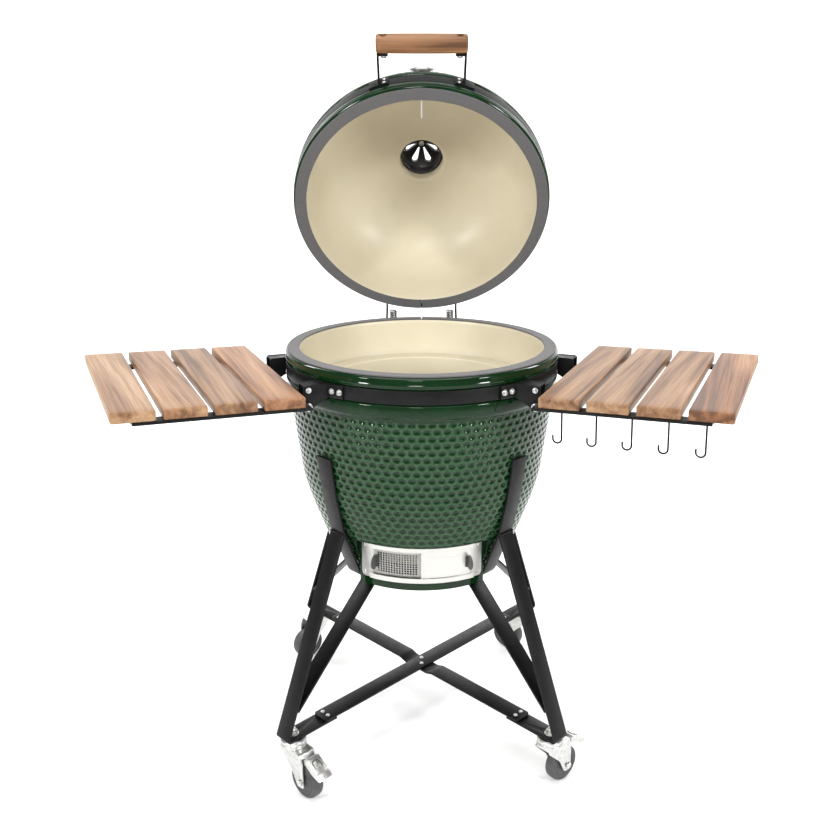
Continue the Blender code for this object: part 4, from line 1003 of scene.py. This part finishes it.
for i, t in enumerate(("50", "100", "150", "200", "250", "300", "350", "400")):
    a = math.radians(225.0 - 270.0 * (i * 5 + 2.5) / 40)
    marks.append((digits(t, 0.0042, 0.0146 * math.cos(a), 0.0146 * math.sin(a), 0.0071), 2))
emit(join((spin(body, 72), 0), (face, 1), *marks, (needle, 3), (hub, 0)), "thermometer", [STEEL, ENAMEL, BLACK, TAB], "lid", "thermometer",
     matrix=LIDM @ TH)

# --------------------------------------------------------------- lid handle
HXP, HB, HR, HT = 0.0860, 0.0745, 0.3520, 0.0300
for side, sx in (("left", -1), ("right", 1)):
    ang = math.degrees(math.asin(sx * HXP / 0.2785))
    heads = []
    for z in (0.0345, 0.0475):
        heads.append((place(rivet(0.0034, 0.0018, I4), LIDM @ face_out(-90.0 + ang - sx * 2.4, 0.2825, H + z)), 1))
    emit(join(cad("handle_bracket_" + side, 0.0006), *heads), "handle_bracket_" + side, [BLACK, ZINC], "lid", "handle_bracket_" + side)
    bolt = rounded([(0.0, 0.3235), (0.0050, 0.3245), (0.0062, 0.3270), (0.0062, 0.3302), (0.0030, 0.3302), (0.0030, HR + 0.0084),
                    (0.0060, HR + 0.0084), (0.0060, HR + 0.0115), (0.0, HR + 0.0128)], 0.0006, 2)
    emit(spin(bolt, 28), "handle_bolt_" + side, ZINC, "lid", "handle_bolt_" + side,
         matrix=LIDM @ axes((sx * HB, BY, H + HT), (1, 0, 0), (0, 0, 1), (0, -1, 0)))


def wood_attributes(me, inverse, offset, tone):
    """Local coordinates of the wood, across, along and through the grain."""
    co = np.empty(len(me.vertices) * 3, np.float32)
    me.vertices.foreach_get("co", co)
    co = np.c_[co.reshape(-1, 3).astype(float), np.ones(len(co) // 3)] @ np.array(inverse).T
    at = me.attributes.new("grain", 'FLOAT_VECTOR', 'POINT')
    at.data.foreach_set("vector", (co[:, :3] + np.array(offset)).astype(np.float32).reshape(-1))
    tn = me.attributes.new("tone", 'FLOAT', 'POINT')
    tn.data.foreach_set("value", np.full(len(co), tone, np.float32))


bm = bmesh.new()
GL, GW, GH, GS = 0.0892, 0.0170, 0.0165, 48
stations = [(-GL, 0.80), (-GL + 0.0006, 0.87), (-GL + 0.0018, 0.925), (-GL + 0.0040, 0.965), (-GL + 0.009, 0.995)]
stations += [(x, 1.0 + 0.03 * (1 - (x / (GL - 0.009)) ** 2)) for x in np.linspace(-GL + 0.014, GL - 0.014, 21)]
stations += [(-x, k) for x, k in reversed(stations[:5])]
rings = []
for x, k in stations:
    rv = []
    for i in range(GS):
        a = math.tau * i / GS
        ca, sa = math.cos(a), math.sin(a)
        rv.append(bm.verts.new((x, BY - HR + GW * k * math.copysign(abs(ca) ** 0.75, ca), H + HT + GH * k * math.copysign(abs(sa) ** 0.75, sa))))
    rings.append(rv)
for a, b in zip(rings, rings[1:]):
    for i in range(GS):
        bm.faces.new((a[i], a[(i + 1) % GS], b[(i + 1) % GS], b[i]))
bm.faces.new(rings[0])
bm.faces.new(rings[-1][::-1])
FW = lambda sx: axes((sx * HB, BY, H + HT), (1, 0, 0), (0, 0, 1), (0, -1, 0))
bm = combine(bm, [('DIFFERENCE', ngon(0.0042, 0.320, 0.380, 24, FW(sx))) for sx in (-1, 1)] +
             [('DIFFERENCE', ngon(0.0074, HR + 0.0080, 0.380, 28, FW(sx))) for sx in (-1, 1)])
place(bm, LIDM)
me = bpy.data.meshes.new("handle_grip")
bmesh.ops.recalc_face_normals(bm, faces=bm.faces)
bm.to_mesh(me)
bm.free()
GRIP = axes((0, BY - HR, H + HT), (0, 1, 0), (1, 0, 0), (0, 0, -1))
wood_attributes(me, (LIDM @ GRIP).inverted(), (1.37, 0.52, 0.2), 0.65)
settle(me, "handle_grip", GRIP_WOOD, "lid", "handle_grip", 40.0)

# ------------------------------------------------------------------ top vent
col = rounded([(0.0452, 0.2300), (0.0490, 0.2300), (0.0490, 0.2386), (0.0620, 0.2376), (0.0620, 0.2408), (0.0505, 0.2440),
               (0.0500, 0.2480), (0.0440, 0.2480), (0.0440, 0.2330)], 0.0009, 3)
emit(spin(col, 120), "vent_collar", IRON, "lid", "vent_collar", 40.0, LIDM @ RIM)


def petals(r_in, r_out, w, z0, z1, count=6):
    steps = []
    for k in range(count):
        a = math.tau * k / count
        pts = [(r_in, -w * 0.10)] + [(r_out - w / 2 + (w / 2) * math.cos(t), (w / 2) * math.sin(t))
                                     for t in (math.radians(-78 + 15.6 * i) for i in range(11))] + [(r_in, w * 0.10)]
        rot = [(x * math.cos(a) - y * math.sin(a), x * math.sin(a) + y * math.cos(a)) for x, y in pts]
        steps.append(('DIFFERENCE', prism(rot, z0, z1)))
    return steps


cap = rounded([(0.0, 0.2881), (0.0, 0.2914), (0.0080, 0.2914), (0.0300, 0.2699), (0.0440, 0.2539), (0.0518, 0.2499), (0.0518, 0.2485), (0.0440, 0.2491),
               (0.0280, 0.2666), (0.0070, 0.2881)], 0.004, 3)
bm = combine(spin(cap, 96), petals(0.0110, 0.0380, 0.0150, 0.20, 0.32) + [('DIFFERENCE', ngon(0.0036, 0.2, 0.32, 24))])
heads = [(rivet(0.0021, 0.0009, axes((sx * 0.0410, 0, 0.2520), (1, 0, 0), (0, -1, 0), (0, 0, -1)), 14), 1) for sx in (-1, 1)]
emit(join(soft(bm, 0.0004, 2, 40.0), *heads), "vent_cap", [IRON, ZINC], "lid", "vent_cap", 40.0, LIDM @ RIM)
dmp = rounded([(0.0, 0.2923), (0.0, 0.2954), (0.0090, 0.2954), (0.0310, 0.2744), (0.0450, 0.2582), (0.0518, 0.2544), (0.0518, 0.2509), (0.0440, 0.2549),
               (0.0300, 0.2709), (0.0080, 0.2923)], 0.004, 3)
bm = combine(spin(dmp, 96), petals(0.0110, 0.0380, 0.0150, 0.20, 0.32) + [('DIFFERENCE', ngon(0.0036, 0.2, 0.32, 24))])
knob = soft(round_block(0.0475, 0.0618, -0.0070, 0.0070, 0.2533, 0.2553, 0.004, 5), 0.0004, 2)
emit(join(soft(bm, 0.0004, 2, 40.0), knob), "vent_damper", IRON, "damper", "vent_damper", 40.0, LIDM @ RIM)
scw = rounded([(0.0, 0.2836), (0.0064, 0.2836), (0.0064, 0.2875), (0.0030, 0.2875), (0.0030, 0.2958), (0.0070, 0.2958), (0.0070, 0.2978), (0.0, 0.2994)], 0.0007, 2)
emit(spin(scw, 32), "vent_screw", ZINC, "lid", "vent_screw", 40.0, LIDM @ RIM)

# -------------------------------------------------------------- side shelves
SU, SV, PITCH, SW, SL, ST = 0.3086, 0.0345, 0.086, 0.0745, 0.451, 0.020
STOP = H - 0.032
PU, PZ = SU - 0.020, STOP - 0.034
th0 = math.radians(23.84)
for side, sx in (("left", -1), ("right", 1)):
    U = Vector((sx * math.cos(th0), -math.sin(th0), 0))
    V = Vector((sx * math.sin(th0), math.cos(th0), 0))
    o = Vector((0, BY, 0))
    M = axes(o, U, V, (0, 0, 1))
    pivot = o + U * PU + V * SV
    LIFT = Matrix.Translation((pivot.x, pivot.y, PZ)) @ Matrix.Rotation(math.radians(-2.0 * sx), 4, V) @ Matrix.Translation((-pivot.x, -pivot.y, -PZ))
    shelf = "shelf_" + side
    rng = np.random.default_rng(11 if side == "left" else 23)
    for k in range(4):
        u0 = SU + k * PITCH
        bm = block(u0 + 0.0001, u0 + SW - 0.0001, SV - SL / 2 + 0.0001, SV + SL / 2 - 0.0001, STOP - ST + 0.0001, STOP - 0.0001)
        soft(bm, 0.0030, 4)
        cuts = [e for e in bm.edges if abs(e.verts[0].co.y - e.verts[1].co.y) > 0.3]
        bmesh.ops.subdivide_edges(bm, edges=cuts, cuts=24, use_grid_fill=False)
        place(bm, LIFT @ M)
        me = bpy.data.meshes.new(f"{side}_slat_{k + 1}")
        bmesh.ops.recalc_face_normals(bm, faces=bm.faces)
        bm.to_mesh(me)
        bm.free()
        lean = Matrix.Rotation(float(rng.uniform(-0.055, 0.055)), 4, 'Z')
        wood_attributes(me, lean @ (LIFT @ M).inverted(), (float(rng.uniform(0, 9)), float(rng.uniform(0, 9)), float(rng.uniform(0, 9))),
                        float((0.85, 0.15, 0.45, 0.30)[k] if side == "left" else (0.30, 0.20, 0.35, 0.95)[k]))
        settle(me, f"{side}_slat_{k + 1}", WOOD, shelf, f"{side}_slat_{k + 1}", 50.0)
    # flat-bar frame under the slats
    z1 = STOP - ST - 0.0003
    z0 = z1 - 0.005
    uo = SU + 3 * PITCH + SW - 0.035
    vf = SV - SL / 2
    vr = SV + SL / 2 - 0.025
    rail = block(SU - 0.0120, uo, vf, vf + 0.030, z0, z1)
    steps = [('UNION', block(SU - 0.0120, uo, vr - 0.030, vr, z0, z1)),
             ('UNION', block(SU - 0.0122, SU + 0.0160, vf + 0.0002, vr - 0.0002, z0 + 0.0001, z1 - 0.0001))]
    Mw = axes((0, 0, 0), (1, 0, 0), (0, 0, 1), (0, 1, 0))
    for vb in (-0.1150, 0.1150):
        tri = [(SU - 0.0110, z0 + 0.002), (SU + 0.0150, z0 + 0.002)] + [(x, z) for x, z in arc_pts(0.0085, -50, -230, 12, PU, PZ)]
        for dv in (-0.0215, 0.0175):
            steps.append(('UNION', prism(tri, vb + dv, vb + dv + 0.0040, Mw)))
        steps.append(('DIFFERENCE', ngon(0.0043, vb - 0.03, vb + 0.03, 24, Mw @ Matrix.Translation((PU, PZ, 0)))))
    bm = soft(combine(rail, steps), 0.0007, 2, 35.0)
    extra = []
    for k in range(4):
        uc = SU + k * PITCH + SW / 2
        for v in (vf + 0.0210, vr - 0.0150):
            extra.append((rivet(0.0042, 0.0020, axes((uc, v, z0), (1, 0, 0), (0, -1, 0), (0, 0, -1)), 16), 1))
    if side == "right":
        for k in range(5):
            u = SU + 0.0400 + k * 0.0620
            v = vf + 0.0148
            pts = [(u, v, z0 + 0.0020)] + [(u, v, z0 - 0.052 * t) for t in np.linspace(0.05, 1.0, 12)]
            pts += [(u - 0.008 + 0.008 * math.cos(math.radians(t)), v, z0 - 0.052 + 0.008 * math.sin(math.radians(t))) for t in range(-12, -181, -12)]
            pts += [(u - 0.016, v, z0 - 0.0480), (u - 0.016, v, z0 - 0.0460)]
            extra.append((tube(pts, 0.00175, 12), 0))
    emit(join(bm, *extra), side + "_shelf_frame", [BLACK, ZINC], shelf, side + "_shelf_frame", matrix=LIFT @ M)
    # brackets on the band
    for which, vb in (("front", -0.1150), ("rear", 0.1150)):
        rb = 0.2789
        ub = math.sqrt(rb ** 2 - vb ** 2)
        mid = math.degrees(math.atan2(vb, ub)) + (-4.0 if vb < 0 else 4.0)
        heads = []
        for dt in ((-5.5, -1.9) if vb < 0 else (5.5, 1.9)):
            a = math.radians(mid + dt)
            er = Vector((math.cos(a), math.sin(a), 0))
            et = Vector((-math.sin(a), math.cos(a), 0))
            heads.append((hex_bolt(0.0045, 0.0032, M @ axes(er * (rb + 0.0040) + Vector((0, 0, H - 0.0395)), et, Vector((0, 0, 1)), er), True), 1))
        ctop = H + BASE_BAND[1] - 0.0010
        pad = sector(rb, rb + 0.0040, H + BASE_BAND[0] + 0.0005, H + BASE_BAND[1] - 0.0005, mid, 7.0, 14)
        arm = [(ub - 0.012, H + BASE_BAND[0] + 0.001), (ub - 0.012, ctop), (0.2900, ctop + 0.0006), (0.2944, ctop - 0.0030), (0.2944, PZ + 0.0092),
               (PU + 0.0030, PZ + 0.0085)] + arc_pts(0.0090, 40, -110, 12, PU, PZ)
        Mv = axes((0, 0, 0), (1, 0, 0), (0, 0, 1), (0, 1, 0))
        a1 = prism(arm, vb - 0.0170, vb - 0.0135, Mv)
        a2 = prism(arm, vb + 0.0135, vb + 0.0170, Mv)
        web = prism([(ub + 0.0040, ctop - 0.0035), (ub + 0.0040, ctop - 0.0005), (0.2935, ctop - 0.0005), (0.2935, ctop - 0.0035)], vb - 0.0150, vb + 0.0150, Mv)
        shell_cut = spin([(0.10, H - 0.09), (0.2802, H - 0.09), (0.2802, H - 0.0530), (rb, H - 0.0530), (rb, H), (0.10, H)], 144)
        br = combine(pad, [('UNION', a1), ('UNION', a2), ('UNION', web), ('DIFFERENCE', shell_cut),
                           ('DIFFERENCE', ngon(0.0043, vb - 0.03, vb + 0.03, 24, Mv @ Matrix.Translation((PU, PZ, 0))))])
        br = place(soft(br, 0.0006, 2, 35.0), M)
        outer_v = vb + (-0.0170 if vb < 0 else 0.0170)
        s_out = -1 if vb < 0 else 1
        for uu in (0.2850,):
            heads.append((hex_bolt(0.0042, 0.0030, M @ axes((uu, outer_v, H - 0.0365), (1, 0, 0), (0, 0, s_out), (0, s_out, 0)), True), 1))
        emit(join(br, *heads), f"{side}_{which}_bracket", [BLACK, ZINC], "grill", f"{side}_{which}_bracket")
    rod = rounded([(0.0, -0.1420), (0.0075, -0.1420), (0.0075, -0.1372), (0.0040, -0.1372), (0.0040, 0.1372),
                   (0.0075, 0.1372), (0.0075, 0.1420), (0.0, 0.1420)], 0.0007, 2)
    emit(spin(rod, 28), side + "_pivot_rod", ZINC, "grill", side + "_pivot_rod",
         matrix=axes(o + U * PU + Vector((0, 0, PZ)), U, (0, 0, 1), V))

# --------------------------------------------------------------------- stand
cradle = rounded([(0.2664, 0.6965), (0.2542, 0.6100), (0.2362, 0.5305), (0.1925, 0.4265), (0.1500, 0.3990)], 0.010, 5, closed=False)
strut_out = rounded([(0.2362, 0.5305), (0.3972, 0.1235), (0.2700, 0.1235)], 0.008, 5, closed=False)
strut_in = [(0.1520, 0.4000), (0.3690, 0.1830)]
LAP = 0.2860
for name, az in LEG_AZ.items():
    Mr = axes((0, 0, 0), (1, 0, 0), (0, 0, 1), (0, -1, 0))
    P = Matrix.Translation((0, BY, 0)) @ Matrix.Rotation(math.radians(az), 4, 'Z')
    foot_hole = ngon(0.0064, 0.10, 0.16, 24, Matrix.Translation((STEM_R, 0, 0)))
    a = soft(prism(strip(cradle, BAR_T), -BAR_W / 2, BAR_W / 2, Mr), 0.0008, 2, 40.0)
    b = soft(combine(prism(strip(strut_out, BAR_T), -BAR_W / 2 + 0.0002, BAR_W / 2 - 0.0002, Mr), [('DIFFERENCE', foot_hole)]), 0.0008, 2, 40.0)
    c = soft(prism(strip(strut_in, BAR_T), -BAR_W / 2 + 0.0004, BAR_W / 2 - 0.0004, Mr), 0.0008, 2, 40.0)
    # fillet welds where the struts meet
    welds = []
    rng = np.random.default_rng(az)
    for (r, z) in ((0.2400, 0.5300), (0.1535, 0.3962), (0.3700, 0.1870)):
        n = 22
        pts = [(r + float(rng.normal(0, 0.0002)), -BAR_W / 2 + 0.001 + (BAR_W - 0.002) * i / n, z + float(rng.normal(0, 0.0003))) for i in range(n + 1)]
        welds.append((tube(pts, 0.0023, 8), 0))
    emit(join(a, b, c, *welds), "leg_" + name, BLACK, "grill", "leg_" + name, 34.0, P)

CZ = FOOT_Z + BAR_T + 0.0003
xe = STEM_R + 0.0150
for name, az, dip in (("cross_bar_upper", 45, 0.0), ("cross_bar_lower", 135, -(BAR_T + 0.0004))):
    c = CZ + BAR_T / 2
    ends = LAP + 0.016
    path = [(-ends, c), (-0.0500, c), (-0.0340, c + dip), (0.0340, c + dip), (0.0500, c), (ends, c)] if dip else [(-ends, c), (ends, c)]
    Mr = axes((0, 0, 0), (1, 0, 0), (0, 0, 1), (0, -1, 0))
    P = Matrix.Translation((0, BY, 0)) @ Matrix.Rotation(math.radians(az), 4, 'Z')
    bar = prism(strip(rounded(path, 0.004, 3, closed=False), BAR_T), -BAR_W / 2, BAR_W / 2, Mr)
    clip = []
    for s in (-1, 1):
        for t in (-1, 1):
            tri = [(s * (ends - 0.0060), t * 0.0210), (s * (ends + 0.001), t * 0.0210), (s * (ends + 0.001), t * 0.0135)]
            if s * t < 0:
                tri = tri[::-1]
            clip.append(('DIFFERENCE', prism(tri, 0.11, 0.14)))
    bar = soft(combine(bar, clip), 0.0008, 2, 40.0)
    heads = [(rivet(0.0044, 0.0024, up_at(s * LAP, t * 0.0085, CZ + BAR_T), 18), 1) for s in (-1, 1) for t in (-1, 1)]
    if not dip:
        heads += [(rivet(0.0046, 0.0025, up_at(t * 0.0085, t * 0.0085, CZ + BAR_T), 18), 1) for t in (-1, 1)]
    emit(join(bar, *heads), name, [BLACK, ZINC], "grill", name, 34.0, P)

# ------------------------------------------------------------------- casters
TRAIL, WR = 0.040, 0.038
Mx = axes((0, 0, 0), (1, 0, 0), (0, 0, 1), (0, -1, 0))
ACROSS = axes((TRAIL, 0, WR), (1, 0, 0), (0, 0, 1), (0, -1, 0))
for name, az in LEG_AZ.items():
    a = math.radians(az)
    P = Matrix.Translation((STEM_R * math.cos(a), BY + STEM_R * math.sin(a), 0)) @ Matrix.Rotation(math.radians(CASTER_ANGLE[name]), 4, 'Z')
    side_pts = rounded([(-0.0230, 0.1020), (-0.0230, 0.0950), (0.0120, 0.0620), (0.0290, 0.0290), (0.0400, 0.0260), (0.0500, 0.0290), (0.0490, 0.0560), (0.0480, 0.0860), (0.0400, 0.1020)], 0.004, 4)
    yoke = combine(prism(side_pts, -0.0190, 0.0190, Mx), [('DIFFERENCE', block(-0.10, 0.10, -0.0165, 0.0165, 0.0, 0.0990))])
    yoke = soft(yoke, 0.0007, 2, 35.0)
    ribs = []
    for s in (-1, 1):
        rib = prism(rounded([(0.0000, 0.0920), (0.0290, 0.0500), (0.0350, 0.0430), (0.0380, 0.0500), (0.0330, 0.0900)], 0.004, 3), 0.0, 0.0008,
                    axes((0, s * 0.0188, 0), (1, 0, 0), (0, 0, 1), (0, s, 0)) if s > 0 else axes((0, -0.0188, 0), (1, 0, 0), (0, 0, 1), (0, -1, 0)))
        ribs.append(soft(rib, 0.0005, 2))
    race = spin(rounded([(0.0, 0.1010), (0.0250, 0.1010), (0.0268, 0.1030), (0.0270, 0.1085), (0.0252, 0.1095), (0.0252, 0.1108), (0.0270, 0.1120),
                         (0.0266, 0.1178), (0.0235, 0.1204), (0.0, 0.1204)], 0.0009, 3), 64)
    stem = spin(rounded([(0.0, 0.1195), (0.0054, 0.1195), (0.0054, 0.1392), (0.0045, 0.1400), (0.0, 0.1400)], 0.0003, 1), 24)
    nut = soft(ngon(0.0095, 0.1276, 0.1340, 6), 0.0009, 2)
    washer = spin(rounded([(0.0, 0.1263), (0.0118, 0.1263), (0.0118, 0.1276), (0.0, 0.1276)], 0.0003, 1), 28)
    axle = place(spin([(0, -0.0225), (0.0040, -0.0225), (0.0040, 0.0225), (0, 0.0225)], 24), ACROSS)
    nuts = [place(soft(ngon(0.0073, z0, z0 + 0.0040, 6), 0.0006, 2), ACROSS) for z0 in (-0.0232, 0.0192)]
    parts = [yoke, *ribs, race, stem, nut, washer, axle, *nuts]
    emit(join(*parts), "caster_fork_" + name, ZINC, "caster_" + name, "caster_fork_" + name, 34.0, P)
    tread = rounded([(0.0043, -0.0128), (0.0118, -0.0128), (0.0128, -0.0108), (0.0225, -0.0108), (0.0240, -0.0124), (0.0262, -0.0124), (0.0275, -0.0112),
                     (0.0300, -0.0112), (0.0318, -0.0128), (0.0345, -0.0124), (0.0370, -0.0098), (0.0380, -0.0050),
                     (0.0380, 0.0050), (0.0370, 0.0098), (0.0345, 0.0124), (0.0318, 0.0128), (0.0300, 0.0112), (0.0275, 0.0112), (0.0262, 0.0124),
                     (0.0240, 0.0124), (0.0225, 0.0108), (0.0128, 0.0108), (0.0118, 0.0128), (0.0043, 0.0128)], 0.0009, 3)
    emit(spin(tread, 96), "caster_wheel_" + name, RUBBER, "wheel_" + name, "caster_wheel_" + name, 50.0,
         P @ Matrix.Translation((TRAIL, 0, WR)) @ Matrix.Rotation(math.radians(90), 4, 'X'))
    if name.startswith("front"):
        prof = rounded([(-0.0060, 0.0030), (0.0020, 0.0060), (0.0330, -0.0120), (0.0440, -0.0230), (0.0400, -0.0260), (0.0200, -0.0200), (-0.0040, -0.0060)], 0.002, 3)
        ped = combine(prism(prof, -0.0160, 0.0160, Mx),
                      [('DIFFERENCE', prism([(-0.0200, 0.0000), (0.0015, 0.0035), (0.0320, -0.0145), (0.0400, -0.0235), (0.0380, -0.0300), (-0.0200, -0.0300)], -0.0140, 0.0140, Mx))])
        ped = soft(ped, 0.0006, 2, 35.0)
        d = Vector((0.0310, 0, -0.0180)).normalized()
        nrm = Vector((-d.z, 0, d.x))
        T = axes(Vector((0.0165, 0, -0.0024)), d, Vector((0, 1, 0)), nrm)
        pad = soft(round_block(-0.0065, 0.0065, -0.0060, 0.0060, -0.0004, 0.0016, 0.0012, 3, T), 0.0005, 2)
        arch = tube([T @ Vector(p) for p in [(0.0085, -0.0085, 0.0002), (-0.0030, -0.0085, 0.0002), (-0.0075, -0.0060, 0.0002), (-0.0095, 0.0, 0.0002),
                                             (-0.0075, 0.0060, 0.0002), (-0.0030, 0.0085, 0.0002), (0.0085, 0.0085, 0.0002)]], 0.0009, 8)
        emit(join((ped, 0), (pad, 0), (arch, 1)), "brake_pedal_" + name, [ZINC, TAB], "brake_" + name, "brake_pedal_" + name, 34.0,
             P @ Matrix.Translation((0.0560, 0, 0.0930)))

# ---------------------------------------------------------- floor and studio
bm = bmesh.new()
prof = [(-9.0, 0.0), (3.2, 0.0)] + [(3.2 + 2.0 * math.sin(math.radians(t)), 2.0 - 2.0 * math.cos(math.radians(t))) for t in range(6, 91, 6)] + [(5.2, 8.0)]
rows = [[bm.verts.new((x, y, z)) for x in (-9.0, 9.0)] for y, z in prof]
for a, b in zip(rows, rows[1:]):
    bm.faces.new((a[0], a[1], b[1], b[0]))
me = bpy.data.meshes.new("studio_floor")
bmesh.ops.recalc_face_normals(bm, faces=bm.faces)
bm.to_mesh(me)
bm.free()
me.materials.append(FLOOR)
me.shade_smooth()
floor = bpy.data.objects.new("studio_floor", me)
SCENE.objects.link(floor)


def area(name, loc, aim, sx, sy, power, colour=(1, 1, 1)):
    li = bpy.data.lights.new(name, 'AREA')
    li.shape = 'RECTANGLE'
    li.size, li.size_y = sx, sy
    li.energy = power
    li.color = colour
    ob = bpy.data.objects.new(name, li)
    SCENE.objects.link(ob)
    ob.location = loc
    ob.rotation_euler = (Vector(aim) - Vector(loc)).to_track_quat('-Z', 'Y').to_euler()
    return ob


area("softbox_left", (-2.4, -2.3, 2.0), (0, 0, 0.75), 0.45, 0.9, 72)
area("softbox_right", (2.5, -2.1, 1.9), (0, 0, 0.75), 0.45, 0.9, 68)
area("softbox_top", (0.0, -0.2, 3.4), (0, 0, 0.5), 2.6, 2.2, 58)
area("softbox_front", (-0.3, -3.6, 2.7), (0, 0, 0.95), 0.7, 0.5, 48)
area("backdrop_left", (-2.6, 1.6, 3.0), (-1.0, 4.6, 0.6), 1.8, 1.8, 170)
area("backdrop_right", (2.6, 1.6, 3.0), (1.0, 4.6, 0.6), 1.8, 1.8, 170)

bpy.context.scene.view_settings.view_transform = 'Standard'
bpy.context.scene.view_settings.look = 'None'
bpy.context.scene.view_settings.exposure = 0.0
world = bpy.data.worlds.new("studio_world")
bpy.context.scene.world = world
world.use_nodes = True
world.node_tree.nodes["Background"].inputs["Color"].default_value = (1.0, 1.0, 1.0, 1.0)
world.node_tree.nodes["Background"].inputs["Strength"].default_value = 0.22

cam_data = bpy.data.cameras.new("camera")
cam_data.lens = 39.63
cam_data.sensor_width = 36.0
cam_data.clip_start, cam_data.clip_end = 0.05, 60.0
cam = bpy.data.objects.new("camera", cam_data)
SCENE.objects.link(cam)
cam.location = (-0.0035, -1.8795, 1.3029)
cam.rotation_euler = (math.radians(72.44), 0.0, math.radians(0.0))
bpy.context.scene.camera = cam
